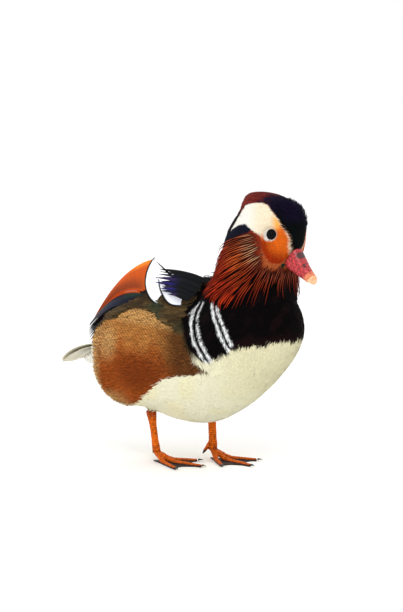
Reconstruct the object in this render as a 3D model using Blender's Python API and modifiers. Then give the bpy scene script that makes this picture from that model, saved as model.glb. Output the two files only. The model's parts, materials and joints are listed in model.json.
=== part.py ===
"""A standing mandarin duck drake at life size, as a still display model.

Metres. +X is the way the bird faces, +Y its left and +Z up. The origin lies on the floor under the
middle of the bird's box. Heights are measured from the floor, and lengths along X from a point midway
between the two shanks until the last step, which moves the whole bird onto the origin.
"""

import math

import bmesh
import bpy
from mathutils import Matrix, Vector

MM = 0.001
GAP = 0.3 * MM  # clear space between two touching pieces

# Trunk: an egg, fuller at the breast, seen in plan as an ellipse
TRUNK_MIDDLE_X = 15 * MM
TRUNK_REAR_LENGTH = 104 * MM
TRUNK_FRONT_LENGTH = 111 * MM
TRUNK_HALF_WIDTH = 54 * MM
TRUNK_MIDDLE_Z = 94 * MM
TRUNK_BACK_RISE = 58 * MM
TRUNK_BELLY_DROP = 58 * MM
BREAST_LIFT = 30 * MM  # how far the front end sits above the middle
RUMP_LIFT = 2 * MM

# Flank: the fluffed side feathers, one lobe on each side
FLANK_CENTRE = Vector((-19, 31, 90)) * MM
FLANK_RADII = Vector((53, 27, 42)) * MM
FLANK_FULLNESS = 2.6  # 2 is an ellipsoid, more is boxier

# Neck and head: level sections as (height, middle x, half length, half width)
HEAD_TOP = 235 * MM
NECK_SECTIONS = [
    (128, 66, 40, 44),
    (150, 76, 36, 44),
    (161, 81, 32, 39.5),
    (173, 84.5, 33, 35),
    (184, 88, 36, 30),
    (194, 91, 38, 27),
    (206, 95, 35.5, 24.5),
    (217, 98.5, 31, 20),
    (225.5, 97.5, 27, 15.5),
    (231.5, 92, 18.5, 10),
]
NECK_CUT = Vector((80, 0, 155)) * MM  # a point on the cut between trunk and neck
NECK_CUT_SLOPE = math.radians(15)  # it rises towards the back
HEAD_CUT_Z = 172 * MM  # between neck and head
HEAD_CUT_SLOPE = math.radians(18)

# Bill
BILL_ROOT = Vector((130.5, 0, 187.5)) * MM  # where the ridge leaves the forehead
BILL_LENGTH = 27.5 * MM
BILL_DROP_ANGLE = math.radians(49)
BILL_ROOT_HEIGHT = 17.5 * MM
BILL_ROOT_WIDTH = 16.5 * MM
BILL_TIP_WIDTH = 9.5 * MM
NAIL_LENGTH = 6 * MM

# Eye
EYE_CENTRE = Vector((114.7, 16.4, 203.3)) * MM
EYE_RADIUS = 5.4 * MM

# Legs: a shank's foot and ankle, for the right side; the left one stands a little further forward
STRIDE = 27 * MM
STANCE_WIDTH = 41 * MM
ANKLE_HEIGHT = 43 * MM
SHANK_FOOT_HEIGHT = 8 * MM
SHANK_RADIUS = 2.7 * MM
ANKLE_RADIUS = 4.3 * MM
TOE_IN = {"r": math.radians(10), "l": math.radians(3)}
TOE_SPREAD = math.radians(31)
TOE_LENGTHS = {"outer": 38 * MM, "middle": 45 * MM, "inner": 34 * MM}
TOE_ROOT_RADIUS = 2.5 * MM
TOE_TIP_RADIUS = 1.6 * MM
WEB_THICKNESS = 0.9 * MM
CLAW_LENGTH = 5.5 * MM
CLAW_LIFT = 0.5 * MM
HALLUX_LENGTH = 12 * MM

# Tail
TAIL_ROOT = Vector((-82, 0, 92)) * MM
TAIL_LENGTH = 65.5 * MM
TAIL_DROOP = math.radians(20.8)
TAIL_BOW = 4.5 * MM
TAIL_ROOT_HALF_WIDTH = 21 * MM

# Wing, shoulder and sail
WING_THICKNESS = 3.2 * MM
SHOULDER_THICKNESS = 6.0 * MM
SAIL_THICKNESS = 1.0 * MM

# Plane cuts that part the flesh
BREAST_CUT_X = 72 * MM
RUMP_CUT_X = -64 * MM

# Wing patch: middle of its outline, reach ahead and behind, and tilt of the side it lies on
WING_CENTRE = Vector((-16, 38, 139)) * MM
WING_REACH = (64 * MM, 74 * MM)
WING_HALF_WIDTH = 20 * MM
WING_TILT = math.radians(48)

# Shoulder feathers
SHOULDER_CENTRE = Vector((20, 25, 149)) * MM
SHOULDER_REACH = (30 * MM, 42 * MM)
SHOULDER_HALF_WIDTH = 15 * MM
SHOULDER_TILT = math.radians(62)

# Wing tips
PRIMARY_ROOT = Vector((-48, 31, 123)) * MM
PRIMARY_TIP = Vector((-101, 12, 90)) * MM
PRIMARY_HALF_WIDTH = 8.5 * MM
PRIMARY_LEAN = math.radians(38)
PRIMARY_ARCH = 7 * MM

# Sail: the standing inner wing feather, from its front edge back to its tip
SAIL_FRONT_X, SAIL_TIP_X = -16 * MM, -97 * MM
SAIL_FRONT_Y, SAIL_TIP_Y = 27 * MM, 17 * MM
SAIL_FRONT_Z, SAIL_MIDDLE_Z, SAIL_TIP_Z = 143 * MM, 137 * MM, 109 * MM
SAIL_HEIGHT = 31 * MM
SAIL_LEAN = {"r": math.radians(8), "l": math.radians(75)}  # outward, at the shaft
SAIL_BEND = {"r": math.radians(1), "l": math.radians(80)}  # the far sail curls down over the wing
SAIL_FORWARD = 12 * MM

# Plume: the pointed feather that stands in front of each sail
PLUME_ROOT = Vector((13, 31, 146)) * MM
PLUME_TIP = {"r": Vector((-8, 25, 175.8)) * MM, "l": Vector((-24, 45, 147)) * MM}
PLUME_FACE = {"r": Vector((0.15, -1, 0.25)), "l": Vector((0.1, 0.55, 0.8))}
PLUME_HALF_WIDTH = 8 * MM
PLUME_THICKNESS = 1.0 * MM

# Undertail coverts
UNDERTAIL_CENTRE = Vector((-97, 0, 80)) * MM
UNDERTAIL_RADII = Vector((25, 15, 8)) * MM
UNDERTAIL_TILT = math.radians(16)

# Bill and leg details
BILL_RIDGE_DIP = 1.0 * MM
WEB_HOLLOW = 0.16
ANKLE_SETBACK = 6.5 * MM
ANKLE_SETBACK_FAR = 2 * MM
THIGH_RADIUS = 10 * MM
CUFF_RADIUS = 5.4 * MM
THIGH_CUFF = 0.5 * MM
HALLUX_HEIGHT = 14.5 * MM
FOOT_CUT_Z = 11 * MM  # between shank and foot
HALLUX_DROP = math.radians(55)

BODY_VOXEL = 2.6 * MM
HEAD_VOXEL = 1.7 * MM
RING_POINTS = 32

SIDES = {"r": -1, "l": 1}

# Base colour (linear) and roughness of each piece
LOOKS = {
    "head": ((0.30, 0.10, 0.03), 0.7),
    "neck": ((0.20, 0.03, 0.01), 0.7),
    "breast": ((0.02, 0.01, 0.012), 0.7),
    "trunk": ((0.36, 0.17, 0.06), 0.8),
    "rump": ((0.07, 0.06, 0.05), 0.8),
    "undertail_coverts": ((0.75, 0.74, 0.66), 0.8),
    "tail": ((0.10, 0.09, 0.06), 0.7),
    "wing": ((0.10, 0.07, 0.04), 0.7),
    "shoulder": ((0.02, 0.03, 0.12), 0.5),
    "sail": ((0.52, 0.14, 0.04), 0.6),
    "plume": ((0.80, 0.82, 0.84), 0.6),
    "primaries": ((0.05, 0.05, 0.06), 0.6),
    "bill_upper": ((0.62, 0.08, 0.09), 0.4),
    "bill_lower": ((0.55, 0.07, 0.08), 0.4),
    "bill_nail": ((0.85, 0.45, 0.25), 0.4),
    "eye": ((0.01, 0.008, 0.007), 0.1),
    "thigh": ((0.60, 0.52, 0.38), 0.8),
    "shank": ((0.72, 0.24, 0.04), 0.5),
    "foot": ((0.70, 0.22, 0.04), 0.5),
    "hallux": ((0.60, 0.16, 0.04), 0.5),
    "claw": ((0.10, 0.07, 0.05), 0.4),
}


def clear_scene():
    for obj in list(bpy.data.objects):
        bpy.data.objects.remove(obj)


def new_collection(name):
    collection = bpy.data.collections.new(name)
    bpy.context.scene.collection.children.link(collection)
    return collection


def make_material(name, colour, roughness, metallic=0.0):
    material = bpy.data.materials.new(name)
    material.use_nodes = True
    shader = material.node_tree.nodes["Principled BSDF"]
    shader.inputs["Base Color"].default_value = (*colour, 1.0)
    shader.inputs["Roughness"].default_value = roughness
    shader.inputs["Metallic"].default_value = metallic
    return material


def add_object(name, mesh, collection, material=None):
    obj = bpy.data.objects.new(name, mesh)
    collection.objects.link(obj)
    if material:
        mesh.materials.clear()
        mesh.materials.append(material)
    return obj


def mesh_from_bmesh(name, bm):
    bmesh.ops.recalc_face_normals(bm, faces=bm.faces)
    mesh = bpy.data.meshes.new(name)
    bm.to_mesh(mesh)
    bm.free()
    mesh.shade_smooth()
    return mesh


def ease(keys, x):
    """A smooth curve through (x, value) keys, level with the first and last value outside them."""
    if x <= keys[0][0]:
        return keys[0][1]
    if x >= keys[-1][0]:
        return keys[-1][1]
    slopes = [
        (keys[min(i + 1, len(keys) - 1)][1] - keys[max(i - 1, 0)][1])
        / (keys[min(i + 1, len(keys) - 1)][0] - keys[max(i - 1, 0)][0])
        for i in range(len(keys))
    ]
    i = max(k for k in range(len(keys) - 1) if keys[k][0] <= x)
    (x0, y0), (x1, y1) = keys[i], keys[i + 1]
    span = x1 - x0
    t = (x - x0) / span
    return (
        (1 + 2 * t) * (1 - t) ** 2 * y0
        + t * (1 - t) ** 2 * span * slopes[i]
        + t * t * (3 - 2 * t) * y1
        + t * t * (t - 1) * span * slopes[i + 1]
    )


def smooth_step(x, low, high):
    t = min(1.0, max(0.0, (x - low) / (high - low)))
    return t * t * (3 - 2 * t)


def loft(rings):
    """A closed bmesh through rings of equal count. A ring of one point closes to a tip."""
    bm = bmesh.new()
    rows = [[bm.verts.new(p) for p in ring] for ring in rings]
    for low, high in zip(rows, rows[1:]):
        count = max(len(low), len(high))
        for i in range(count):
            a, b = low[i % len(low)], low[(i + 1) % len(low)]
            c, d = high[(i + 1) % len(high)], high[i % len(high)]
            corners = list(dict.fromkeys((a, b, c, d)))
            bm.faces.new(corners)
    for row in (rows[0], rows[-1]):
        if len(row) > 2:
            bm.faces.new(row)
    return bm


def oval_ring(centre, across, up, half_width, rise, drop, count=RING_POINTS, power=2.0):
    """Points round a section whose upper and lower halves may differ in height."""
    ring = []
    for i in range(count):
        angle = 2 * math.pi * i / count
        c, s = math.cos(angle), math.sin(angle)
        flat = math.copysign(abs(c) ** (2 / power), c)
        tall = math.copysign(abs(s) ** (2 / power), s)
        height = rise if s >= 0 else drop
        ring.append(centre + across * half_width * flat + up * height * tall)
    return ring


def tapered_tube(path, radii, count=12):
    """A round limb along a path of points, closed by small domes at both ends."""
    rings = []
    side = Vector((0, 1, 0))
    for i, point in enumerate(path):
        ahead = (path[min(i + 1, len(path) - 1)] - path[max(i - 1, 0)]).normalized()
        across = side.cross(ahead).normalized()
        up = ahead.cross(across).normalized()
        rings.append(oval_ring(point, across, up, radii[i], radii[i], radii[i], count))
        if i == 0:
            rings.insert(0, [point - ahead * radii[i] * 0.5])
        if i == len(path) - 1:
            rings.append([point + ahead * radii[i] * 0.5])
    return loft(rings)


def evaluated_mesh(obj, name):
    graph = bpy.context.evaluated_depsgraph_get()
    mesh = bpy.data.meshes.new_from_object(obj.evaluated_get(graph))
    mesh.name = name
    mesh.transform(obj.matrix_world)
    return mesh


def trunk_rings():
    across, up = Vector((0, 1, 0)), Vector((0, 0, 1))
    rings = []
    steps = 36
    for i in range(steps + 1):
        along = -math.cos(math.pi * i / steps)  # -1 at the rump and 1 at the breast
        length = TRUNK_FRONT_LENGTH if along > 0 else TRUNK_REAR_LENGTH
        x = TRUNK_MIDDLE_X + along * length
        size = math.sqrt(max(0.0, 1 - along * along))
        lift = BREAST_LIFT * smooth_step(along, 0.1, 1.0) + RUMP_LIFT * smooth_step(-along, 0.2, 1.0)
        centre = Vector((x, 0, TRUNK_MIDDLE_Z + lift))
        if size < 1e-4:
            rings.append([centre])
            continue
        belly_lift = 6 * MM * smooth_step(-along, 0.15, 0.75)
        rise = TRUNK_BACK_RISE * size
        drop = (TRUNK_BELLY_DROP - belly_lift) * size
        rings.append(oval_ring(centre, across, up, TRUNK_HALF_WIDTH * size, rise, drop, power=2.05))
    return rings


def flank_bmesh(side):
    bm = bmesh.new()
    bmesh.ops.create_uvsphere(bm, u_segments=28, v_segments=18, radius=1.0)
    for vertex in bm.verts:
        vertex.co /= sum(abs(c) ** FLANK_FULLNESS for c in vertex.co) ** (1 / FLANK_FULLNESS)
    centre = Vector((FLANK_CENTRE.x, side * FLANK_CENTRE.y, FLANK_CENTRE.z))
    bm.transform(Matrix.Translation(centre) @ Matrix.Diagonal((*FLANK_RADII, 1.0)))
    return bm


def neck_rings():
    columns = [[(z * MM, row[i] * MM) for z, *row in NECK_SECTIONS] for i in range(3)]
    low, high = NECK_SECTIONS[0][0] * MM, NECK_SECTIONS[-1][0] * MM
    steps = 26
    across, up = Vector((1, 0, 0)), Vector((0, 1, 0))
    rings = []
    for i in range(steps + 1):
        z = low + (high - low) * i / steps
        x, half_length, half_width = (ease(column, z) for column in columns)
        rings.append(oval_ring(Vector((x, 0, z)), across, up, half_length, half_width, half_width))
    top_x = columns[0][-1][1]
    rings.append(oval_ring(Vector((top_x, 0, HEAD_TOP - 1.2 * MM)), across, up, 11 * MM, 6 * MM, 6 * MM))
    rings.append([Vector((top_x, 0, HEAD_TOP))])
    return rings


def fused_flesh(name, voxel, collection, smoothing, keep):
    """The trunk, flanks, neck and head melted into one closed skin."""
    joined = bmesh.new()
    for bm in (loft(trunk_rings()), loft(neck_rings()), flank_bmesh(1), flank_bmesh(-1)):
        bmesh.ops.recalc_face_normals(bm, faces=bm.faces)
        mesh = bpy.data.meshes.new("shape")
        bm.to_mesh(mesh)
        bm.free()
        joined.from_mesh(mesh)
        bpy.data.meshes.remove(mesh)
    source = bpy.data.meshes.new(name)
    joined.to_mesh(source)
    joined.free()
    obj = add_object(name, source, collection)
    remesh = obj.modifiers.new("one skin", "REMESH")
    remesh.mode = "VOXEL"
    remesh.voxel_size = voxel
    smooth = obj.modifiers.new("soft folds", "SMOOTH")
    smooth.factor = 0.6
    smooth.iterations = smoothing
    fewer = obj.modifiers.new("fewer faces", "DECIMATE")
    fewer.ratio = keep
    bpy.context.view_layer.update()
    mesh = evaluated_mesh(obj, name)
    bpy.data.objects.remove(obj)
    return mesh


def cut(mesh, point, normal):
    """Keeps the side of a closed mesh that the normal points away from, and caps it."""
    bm = bmesh.new()
    bm.from_mesh(mesh)
    faces = bm.verts[:] + bm.edges[:] + bm.faces[:]
    bmesh.ops.bisect_plane(bm, geom=faces, plane_co=point, plane_no=normal, clear_outer=True)
    rim = [edge for edge in bm.edges if edge.is_boundary]
    bmesh.ops.holes_fill(bm, edges=rim, sides=0)
    bmesh.ops.triangulate(bm, faces=[f for f in bm.faces if len(f.verts) > 4])
    return mesh_from_bmesh(mesh.name, bm)


def grown(mesh, distance):
    """A copy of a mesh with its surface moved out by a distance."""
    copy = mesh.copy()
    normals = [Vector(n.vector) for n in mesh.vertex_normals]
    for vertex, normal in zip(copy.vertices, normals):
        vertex.co = vertex.co + normal * distance
    return copy


def boolean(mesh, other, operation, cutters):
    """mesh combined with other by the exact solver."""
    base = add_object("base", mesh, cutters)
    tool = add_object("tool", other, cutters)
    modifier = base.modifiers.new("shape", "BOOLEAN")
    modifier.operation = operation
    modifier.object = tool
    bpy.context.view_layer.update()
    result = evaluated_mesh(base, mesh.name)
    for obj in (base, tool):
        bpy.data.objects.remove(obj)
    result.shade_smooth()
    return result


def prism(outline, direction, near, far):
    """A closed bar whose section is an outline of points, swept along a direction."""
    return loft([[p + direction * near for p in outline], [p + direction * far for p in outline]])


def oval_outline(centre, along, across, front, rear, half_width, count=28, point=1.0):
    """A leaf outline: rounded in front, drawn out to a point behind."""
    points = []
    for i in range(count):
        angle = 2 * math.pi * i / count
        c, s = math.cos(angle), math.sin(angle)
        length = front if c > 0 else rear
        taper = 1.0 if c > 0 else (1 - abs(c)) ** (0.35 * point)
        width = half_width * s * (1.0 if c > 0 else max(0.0, taper))
        points.append(centre + along * length * c + across * width)
    return points


def build_flesh(cutters):
    """The flesh as whole meshes: a coarse one for the body and a finer one for the head."""
    body = fused_flesh("body", BODY_VOXEL, cutters, smoothing=10, keep=0.05)
    fine = fused_flesh("head", HEAD_VOXEL, cutters, smoothing=12, keep=0.05)
    return body, fine


def head_plane():
    """A point on the cut between head and neck, and its normal, which leans forward and up."""
    normal = Vector((math.sin(HEAD_CUT_SLOPE), 0, math.cos(HEAD_CUT_SLOPE)))
    return Vector((NECK_SECTIONS[3][1] * MM, 0, HEAD_CUT_Z)), normal


def part_flesh(body, fine):
    """Parts the flesh by thin plane cuts into named meshes."""
    ahead = Vector((1, 0, 0))
    point, normal = head_plane()
    half = GAP / 2
    pieces = {"head": cut(fine, point + normal * half, -normal)}
    below_head = cut(body, point - normal * half, normal)
    up = Vector((math.sin(NECK_CUT_SLOPE), 0, math.cos(NECK_CUT_SLOPE)))
    pieces["neck"] = cut(below_head, NECK_CUT + up * half, -up)
    barrel = cut(below_head, NECK_CUT - up * half, up)
    breast_point, rump_point = Vector((BREAST_CUT_X, 0, 0)), Vector((RUMP_CUT_X, 0, 0))
    pieces["breast"] = cut(barrel, breast_point + ahead * half, -ahead)
    rest = cut(barrel, breast_point - ahead * half, ahead)
    pieces["rump"] = cut(rest, rump_point - ahead * half, ahead)
    pieces["trunk"] = cut(rest, rump_point + ahead * half, -ahead)
    return pieces


def side_frame(side, tilt):
    """Directions for a patch on one side of the back: out through the feathers, and up round the back."""
    outward = Vector((0, side * math.cos(tilt), math.sin(tilt)))
    around = Vector((0, -side * math.sin(tilt), math.cos(tilt)))
    return outward, around


def coat_patch(name, body, outline, outward, thickness, cutters):
    """A plate of even thickness that lies on the body within an outline."""
    reach = 30 * MM
    plate = boolean(grown(body, thickness), prism_mesh(outline, outward, -reach, reach), "INTERSECT", cutters)
    plate = boolean(plate, grown(body, GAP), "DIFFERENCE", cutters)
    plate.name = name
    return plate


def prism_mesh(outline, direction, near, far):
    return mesh_from_bmesh("prism", prism(outline, direction, near, far))


def shoulder_mesh(side, body, cutters):
    """The shoulder feathers, which lie in a ridge over the root of the wing."""
    outward, around = side_frame(side, SHOULDER_TILT)
    centre = Vector((SHOULDER_CENTRE.x, side * SHOULDER_CENTRE.y, SHOULDER_CENTRE.z))
    outline = oval_outline(centre, Vector((1, 0, 0)), around, *SHOULDER_REACH, SHOULDER_HALF_WIDTH)
    return coat_patch(f"shoulder_{side}", body, outline, outward, SHOULDER_THICKNESS, cutters)


def wing_mesh(side, body, shoulder, cutters):
    """The folded wing's coverts and secondaries, cleared round the shoulder feathers."""
    outward, around = side_frame(side, WING_TILT)
    centre = Vector((WING_CENTRE.x, side * WING_CENTRE.y, WING_CENTRE.z))
    outline = oval_outline(centre, Vector((1, 0, 0)), around, *WING_REACH, WING_HALF_WIDTH)
    wing = coat_patch(f"wing_{side}", body, outline, outward, WING_THICKNESS, cutters)
    return largest_body(boolean(wing, grown(shoulder, GAP), "DIFFERENCE", cutters))


def largest_body(mesh):
    """Drops the slivers that a cut may leave beside the main piece."""
    bm = bmesh.new()
    bm.from_mesh(mesh)
    groups, seen = [], set()
    for start in bm.verts:
        if start in seen:
            continue
        group, queue = [], [start]
        seen.add(start)
        while queue:
            vert = queue.pop()
            group.append(vert)
            for edge in vert.link_edges:
                other = edge.other_vert(vert)
                if other not in seen:
                    seen.add(other)
                    queue.append(other)
        groups.append(group)
    groups.sort(key=len)
    for group in groups[:-1]:
        bmesh.ops.delete(bm, geom=group, context="VERTS")
    return mesh_from_bmesh(mesh.name, bm)


def primaries_mesh(side, body, wing, cutters):
    """The long wing tips, laid together over the root of the tail."""
    rings = []
    steps = 14
    root, tip = Vector(PRIMARY_ROOT), Vector(PRIMARY_TIP)
    root.y *= side
    tip.y *= side
    ahead = (tip - root).normalized()
    across = Vector((0, side * math.cos(PRIMARY_LEAN), -math.sin(PRIMARY_LEAN)))
    up = ahead.cross(across).normalized() * -side
    for i in range(steps + 1):
        t = i / steps
        centre = root.lerp(tip, t) + Vector((0, 0, PRIMARY_ARCH * math.sin(math.pi * t)))
        width = PRIMARY_HALF_WIDTH * (1 - t**2.2) ** 0.8 + 0.9 * MM * (t < 1)
        thick = 2.0 * MM * (1 - 0.6 * t)
        ring = [centre] if t == 1 else oval_ring(centre, across, up, width, thick, thick, 12)
        rings.append(ring)
    blade = mesh_from_bmesh("primaries", loft(rings))
    blade = boolean(blade, grown(body, GAP), "DIFFERENCE", cutters)
    return largest_body(boolean(blade, grown(wing, GAP), "DIFFERENCE", cutters))


def sail_height(t):
    """Height of the sail's vane above its shaft, from its front edge at t = 0 to its tip at t = 1."""
    return SAIL_HEIGHT * (1 - t**1.1) ** 0.85


def sail_reach(letter, s, height):
    """How far out and up from the shaft the curved vane is, at share s of its height."""
    first, bend = SAIL_LEAN[letter], SAIL_BEND[letter]
    last = first + bend * s
    out = (math.cos(first) - math.cos(last)) / bend * height
    rise = (math.sin(last) - math.sin(first)) / bend * height
    return out, rise


def sail_mesh(letter, body, wing, shoulder, cutters):
    """The innermost wing feather, whose broad vane stands up over the back."""
    columns, rows = 13, 4
    side = SIDES[letter]
    bm = bmesh.new()
    grid = []
    for i in range(columns + 1):
        t = i / columns
        x = SAIL_FRONT_X + (SAIL_TIP_X - SAIL_FRONT_X) * t
        shaft_z = ease([(0, SAIL_FRONT_Z), (0.55, SAIL_MIDDLE_Z), (1, SAIL_TIP_Z)], t)
        shaft_y = SAIL_FRONT_Y + (SAIL_TIP_Y - SAIL_FRONT_Y) * t
        height = max(sail_height(t), 0.8 * MM)
        column = []
        for j in range(rows + 1):
            s = j / rows
            forward = SAIL_FORWARD * (s - 0.15) * (1 - t) ** 2
            out, rise = sail_reach(letter, s, height)
            column.append(bm.verts.new((x + forward, side * (shaft_y + out), shaft_z + rise)))
        grid.append(column)
    for left, right in zip(grid, grid[1:]):
        for j in range(rows):
            bm.faces.new((left[j], left[j + 1], right[j + 1], right[j]))
    mesh = mesh_from_bmesh("sail", bm)
    obj = add_object("sail_sheet", mesh, cutters)
    shell = obj.modifiers.new("vane", "SOLIDIFY")
    shell.thickness = SAIL_THICKNESS
    shell.offset = 0
    bpy.context.view_layer.update()
    solid = evaluated_mesh(obj, "sail")
    bpy.data.objects.remove(obj)
    for other in (body, wing, shoulder):
        solid = boolean(solid, grown(other, GAP), "DIFFERENCE", cutters)
    return largest_body(solid)


def plume_mesh(letter, neighbours, cutters):
    """The white, black-edged shoulder feather that stands up in front of the sail."""
    side = SIDES[letter]
    root = Vector((PLUME_ROOT.x, side * PLUME_ROOT.y, PLUME_ROOT.z))
    tip = Vector((PLUME_TIP[letter].x, side * PLUME_TIP[letter].y, PLUME_TIP[letter].z))
    ahead = (tip - root).normalized()
    face = PLUME_FACE[letter].normalized()
    across = ahead.cross(face).normalized()
    up = across.cross(ahead).normalized()
    rings = []
    steps = 9
    for i in range(steps + 1):
        t = i / steps
        width = PLUME_HALF_WIDTH * (1 - t**1.8) + 0.6 * MM
        centre = root.lerp(tip, t) + across * 1.5 * MM * math.sin(math.pi * t)
        thick = PLUME_THICKNESS / 2
        rings.append([tip] if i == steps else oval_ring(centre, across, up, width, thick, thick, 8))
    plume = mesh_from_bmesh("plume", loft(rings))
    for other in neighbours:
        plume = boolean(plume, grown(other, GAP), "DIFFERENCE", cutters)
    return largest_body(plume)


def tail_mesh(body, cutters):
    """The closed fan of tail feathers, with a rounded end."""
    ahead = Vector((-math.cos(TAIL_DROOP), 0, -math.sin(TAIL_DROOP)))
    up = Vector((-math.sin(TAIL_DROOP), 0, math.cos(TAIL_DROOP)))
    across = Vector((0, 1, 0))
    rings = []
    steps = 11
    for i in range(steps + 1):
        t = i / steps
        width = TAIL_ROOT_HALF_WIDTH * (1 + 0.12 * math.sin(math.pi * t)) * (1 - t**3.2) ** 0.6
        thick = 2.6 * MM * (1 - 0.7 * t)
        bow = TAIL_BOW * math.sin(math.pi * t)
        centre = TAIL_ROOT + ahead * TAIL_LENGTH * t + up * bow
        rings.append([centre] if i == steps else oval_ring(centre, across, up, width, thick, thick, 12))
    tail = mesh_from_bmesh("tail", loft(rings))
    return largest_body(boolean(tail, grown(body, GAP), "DIFFERENCE", cutters))


def undertail_mesh(body, tail, cutters):
    """The white feathers that wedge the tail from below."""
    bm = bmesh.new()
    bmesh.ops.create_uvsphere(bm, u_segments=16, v_segments=10, radius=1.0)
    place = Matrix.Translation(UNDERTAIL_CENTRE) @ Matrix.Rotation(-UNDERTAIL_TILT, 4, "Y")
    bm.transform(place @ Matrix.Diagonal((*UNDERTAIL_RADII, 1.0)))
    mesh = mesh_from_bmesh("undertail", bm)
    mesh = boolean(mesh, grown(body, GAP), "DIFFERENCE", cutters)
    return largest_body(boolean(mesh, grown(tail, GAP), "DIFFERENCE", cutters))


def bill_frame():
    """Directions along the bill, and up out of its ridge."""
    along = Vector((math.cos(BILL_DROP_ANGLE), 0, -math.sin(BILL_DROP_ANGLE)))
    up = Vector((math.sin(BILL_DROP_ANGLE), 0, math.cos(BILL_DROP_ANGLE)))
    return along, up


def bill_depths(t):
    """Depth below the ridge of the mouth line and of the lower edge, at share t of the length."""
    ridge = -BILL_RIDGE_DIP * math.sin(math.pi * min(1.0, t * 1.15)) - 1.6 * MM * smooth_step(t, 0.82, 1.0)
    mouth = -BILL_ROOT_HEIGHT * (0.78 - 0.50 * t) - 0.6 * MM * smooth_step(t, 0.85, 1.0)
    lower = mouth - BILL_ROOT_HEIGHT * (0.22 - 0.13 * t)
    return ridge, mouth, lower


def bill_half_width(t):
    root, tip = BILL_ROOT_WIDTH / 2, BILL_TIP_WIDTH / 2
    width = root + (tip - root) * smooth_step(t, 0.0, 0.8)
    return width * math.sqrt(max(0.0, 1 - max(0.0, (t - 0.72) / 0.285) ** 2.4))


def bill_mesh(upper, head, cutters):
    """The upper or the lower half of the bill, rooted in the face."""
    along, up = bill_frame()
    across = Vector((0, 1, 0))
    start, end = (-0.35, 1.0) if upper else (-0.35, 0.90)
    rings = []
    steps = 15
    for i in range(steps + 1):
        t = start + (end - start) * i / steps
        ridge, mouth, lower = bill_depths(t)
        top, bottom = (ridge, mouth + GAP / 2) if upper else (mouth - GAP / 2, lower)
        width = bill_half_width(t) * (1.0 if upper else 0.86)
        if not upper:
            width *= math.sqrt(max(0.0, 1 - max(0.0, (t - 0.75) / 0.151) ** 2.2))
        base = BILL_ROOT + along * BILL_LENGTH * t
        if width < 0.5 * MM:
            rings.append([base + up * (top + bottom) / 2])
            break
        if upper:
            rings.append(arch_ring(base + up * bottom, across, up, width, top - bottom))
        else:
            rings.append(arch_ring(base + up * top, across, -up, width, top - bottom))
    mesh = mesh_from_bmesh("bill", loft(rings))
    return largest_body(boolean(mesh, grown(head, GAP), "DIFFERENCE", cutters))


def arch_ring(foot, across, up, half_width, height, count=14):
    """A section flat along the mouth and arched away from it."""
    ring = []
    for i in range(count):
        angle = math.pi * i / (count - 1)
        c, s = math.cos(angle), math.sin(angle)
        flat = math.copysign(abs(c) ** 0.75, c)
        ring.append(foot + across * half_width * flat + up * height * max(0.0, s) ** 0.8)
    return ring


def split_nail(upper):
    """Cuts the horny nail from the end of the upper bill."""
    along, _ = bill_frame()
    point = BILL_ROOT + along * (BILL_LENGTH - NAIL_LENGTH)
    nail = cut(upper, point + along * GAP / 2, -along)
    return cut(upper, point - along * GAP / 2, along), nail


def eye_mesh(side, radius):
    bm = bmesh.new()
    bmesh.ops.create_uvsphere(bm, u_segments=12, v_segments=8, radius=radius)
    bm.transform(Matrix.Translation(Vector((EYE_CENTRE.x, side * EYE_CENTRE.y, EYE_CENTRE.z))))
    return mesh_from_bmesh("eye", bm)


def foot_place(side):
    """The point on the floor under a shank, and the foot's directions ahead and to its own outer side."""
    ground = Vector((side * STRIDE / 2, side * STANCE_WIDTH / 2, 0))
    turn = -side * TOE_IN["r" if side < 0 else "l"]
    ahead = Vector((math.cos(turn), math.sin(turn), 0))
    outer = Vector((-math.sin(turn), math.cos(turn), 0)) * side
    return ground, ahead, outer


def toe_direction(side, toe):
    _, ahead, outer = foot_place(side)
    angle = {"outer": TOE_SPREAD, "middle": 0.0, "inner": -TOE_SPREAD}[toe]
    return ahead * math.cos(angle) + outer * math.sin(angle)


def toe_path(side, toe):
    """Points along a toe: down from the root of the foot, then level over the floor."""
    ground, _, _ = foot_place(side)
    direction = toe_direction(side, toe)
    path, radii = [], []
    steps = 7
    for i in range(steps + 1):
        t = i / steps
        radius = TOE_ROOT_RADIUS + (TOE_TIP_RADIUS - TOE_ROOT_RADIUS) * t
        height = radius * 0.72 + (SHANK_FOOT_HEIGHT - radius) * (1 - smooth_step(t, 0.0, 0.42))
        path.append(ground + direction * TOE_LENGTHS[toe] * t + Vector((0, 0, height)))
        radii.append(radius)
    return path, radii


def web_outline(side):
    """The web between the toes, with a hollow edge from tip to tip."""
    ground, ahead, _ = foot_place(side)
    corners = [ground - ahead * 4 * MM]
    toes = ["outer", "middle", "inner"]
    ends = [ground + toe_direction(side, toe) * TOE_LENGTHS[toe] * 0.95 for toe in toes]
    for start, end in zip(ends, ends[1:]):
        for i in range(7):
            t = i / 6
            hollow = 1 - WEB_HOLLOW * math.sin(math.pi * t)
            corners.append(ground + (start.lerp(end, t) - ground) * hollow)
    return list(dict.fromkeys(tuple(p) for p in corners))


def foot_mesh(side, cutters):
    """Three front toes and their web in one piece, cut level with the floor."""
    outline = [Vector(p) for p in web_outline(side)]
    up = Vector((0, 0, 1))
    foot = prism_mesh(outline, up, -2 * MM, WEB_THICKNESS)
    for toe in TOE_LENGTHS:
        path, radii = toe_path(side, toe)
        foot = boolean(foot, mesh_from_bmesh("toe", tapered_tube(path, radii, 7)), "UNION", cutters)
    path, radii = shank_tube(side)
    foot = boolean(foot, mesh_from_bmesh("stub", tapered_tube(path, radii, 10)), "UNION", cutters)
    foot = cut(foot, Vector((0, 0, FOOT_CUT_Z - GAP / 2)), up)
    return cut(foot, Vector((0, 0, 0)), -up)


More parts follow.
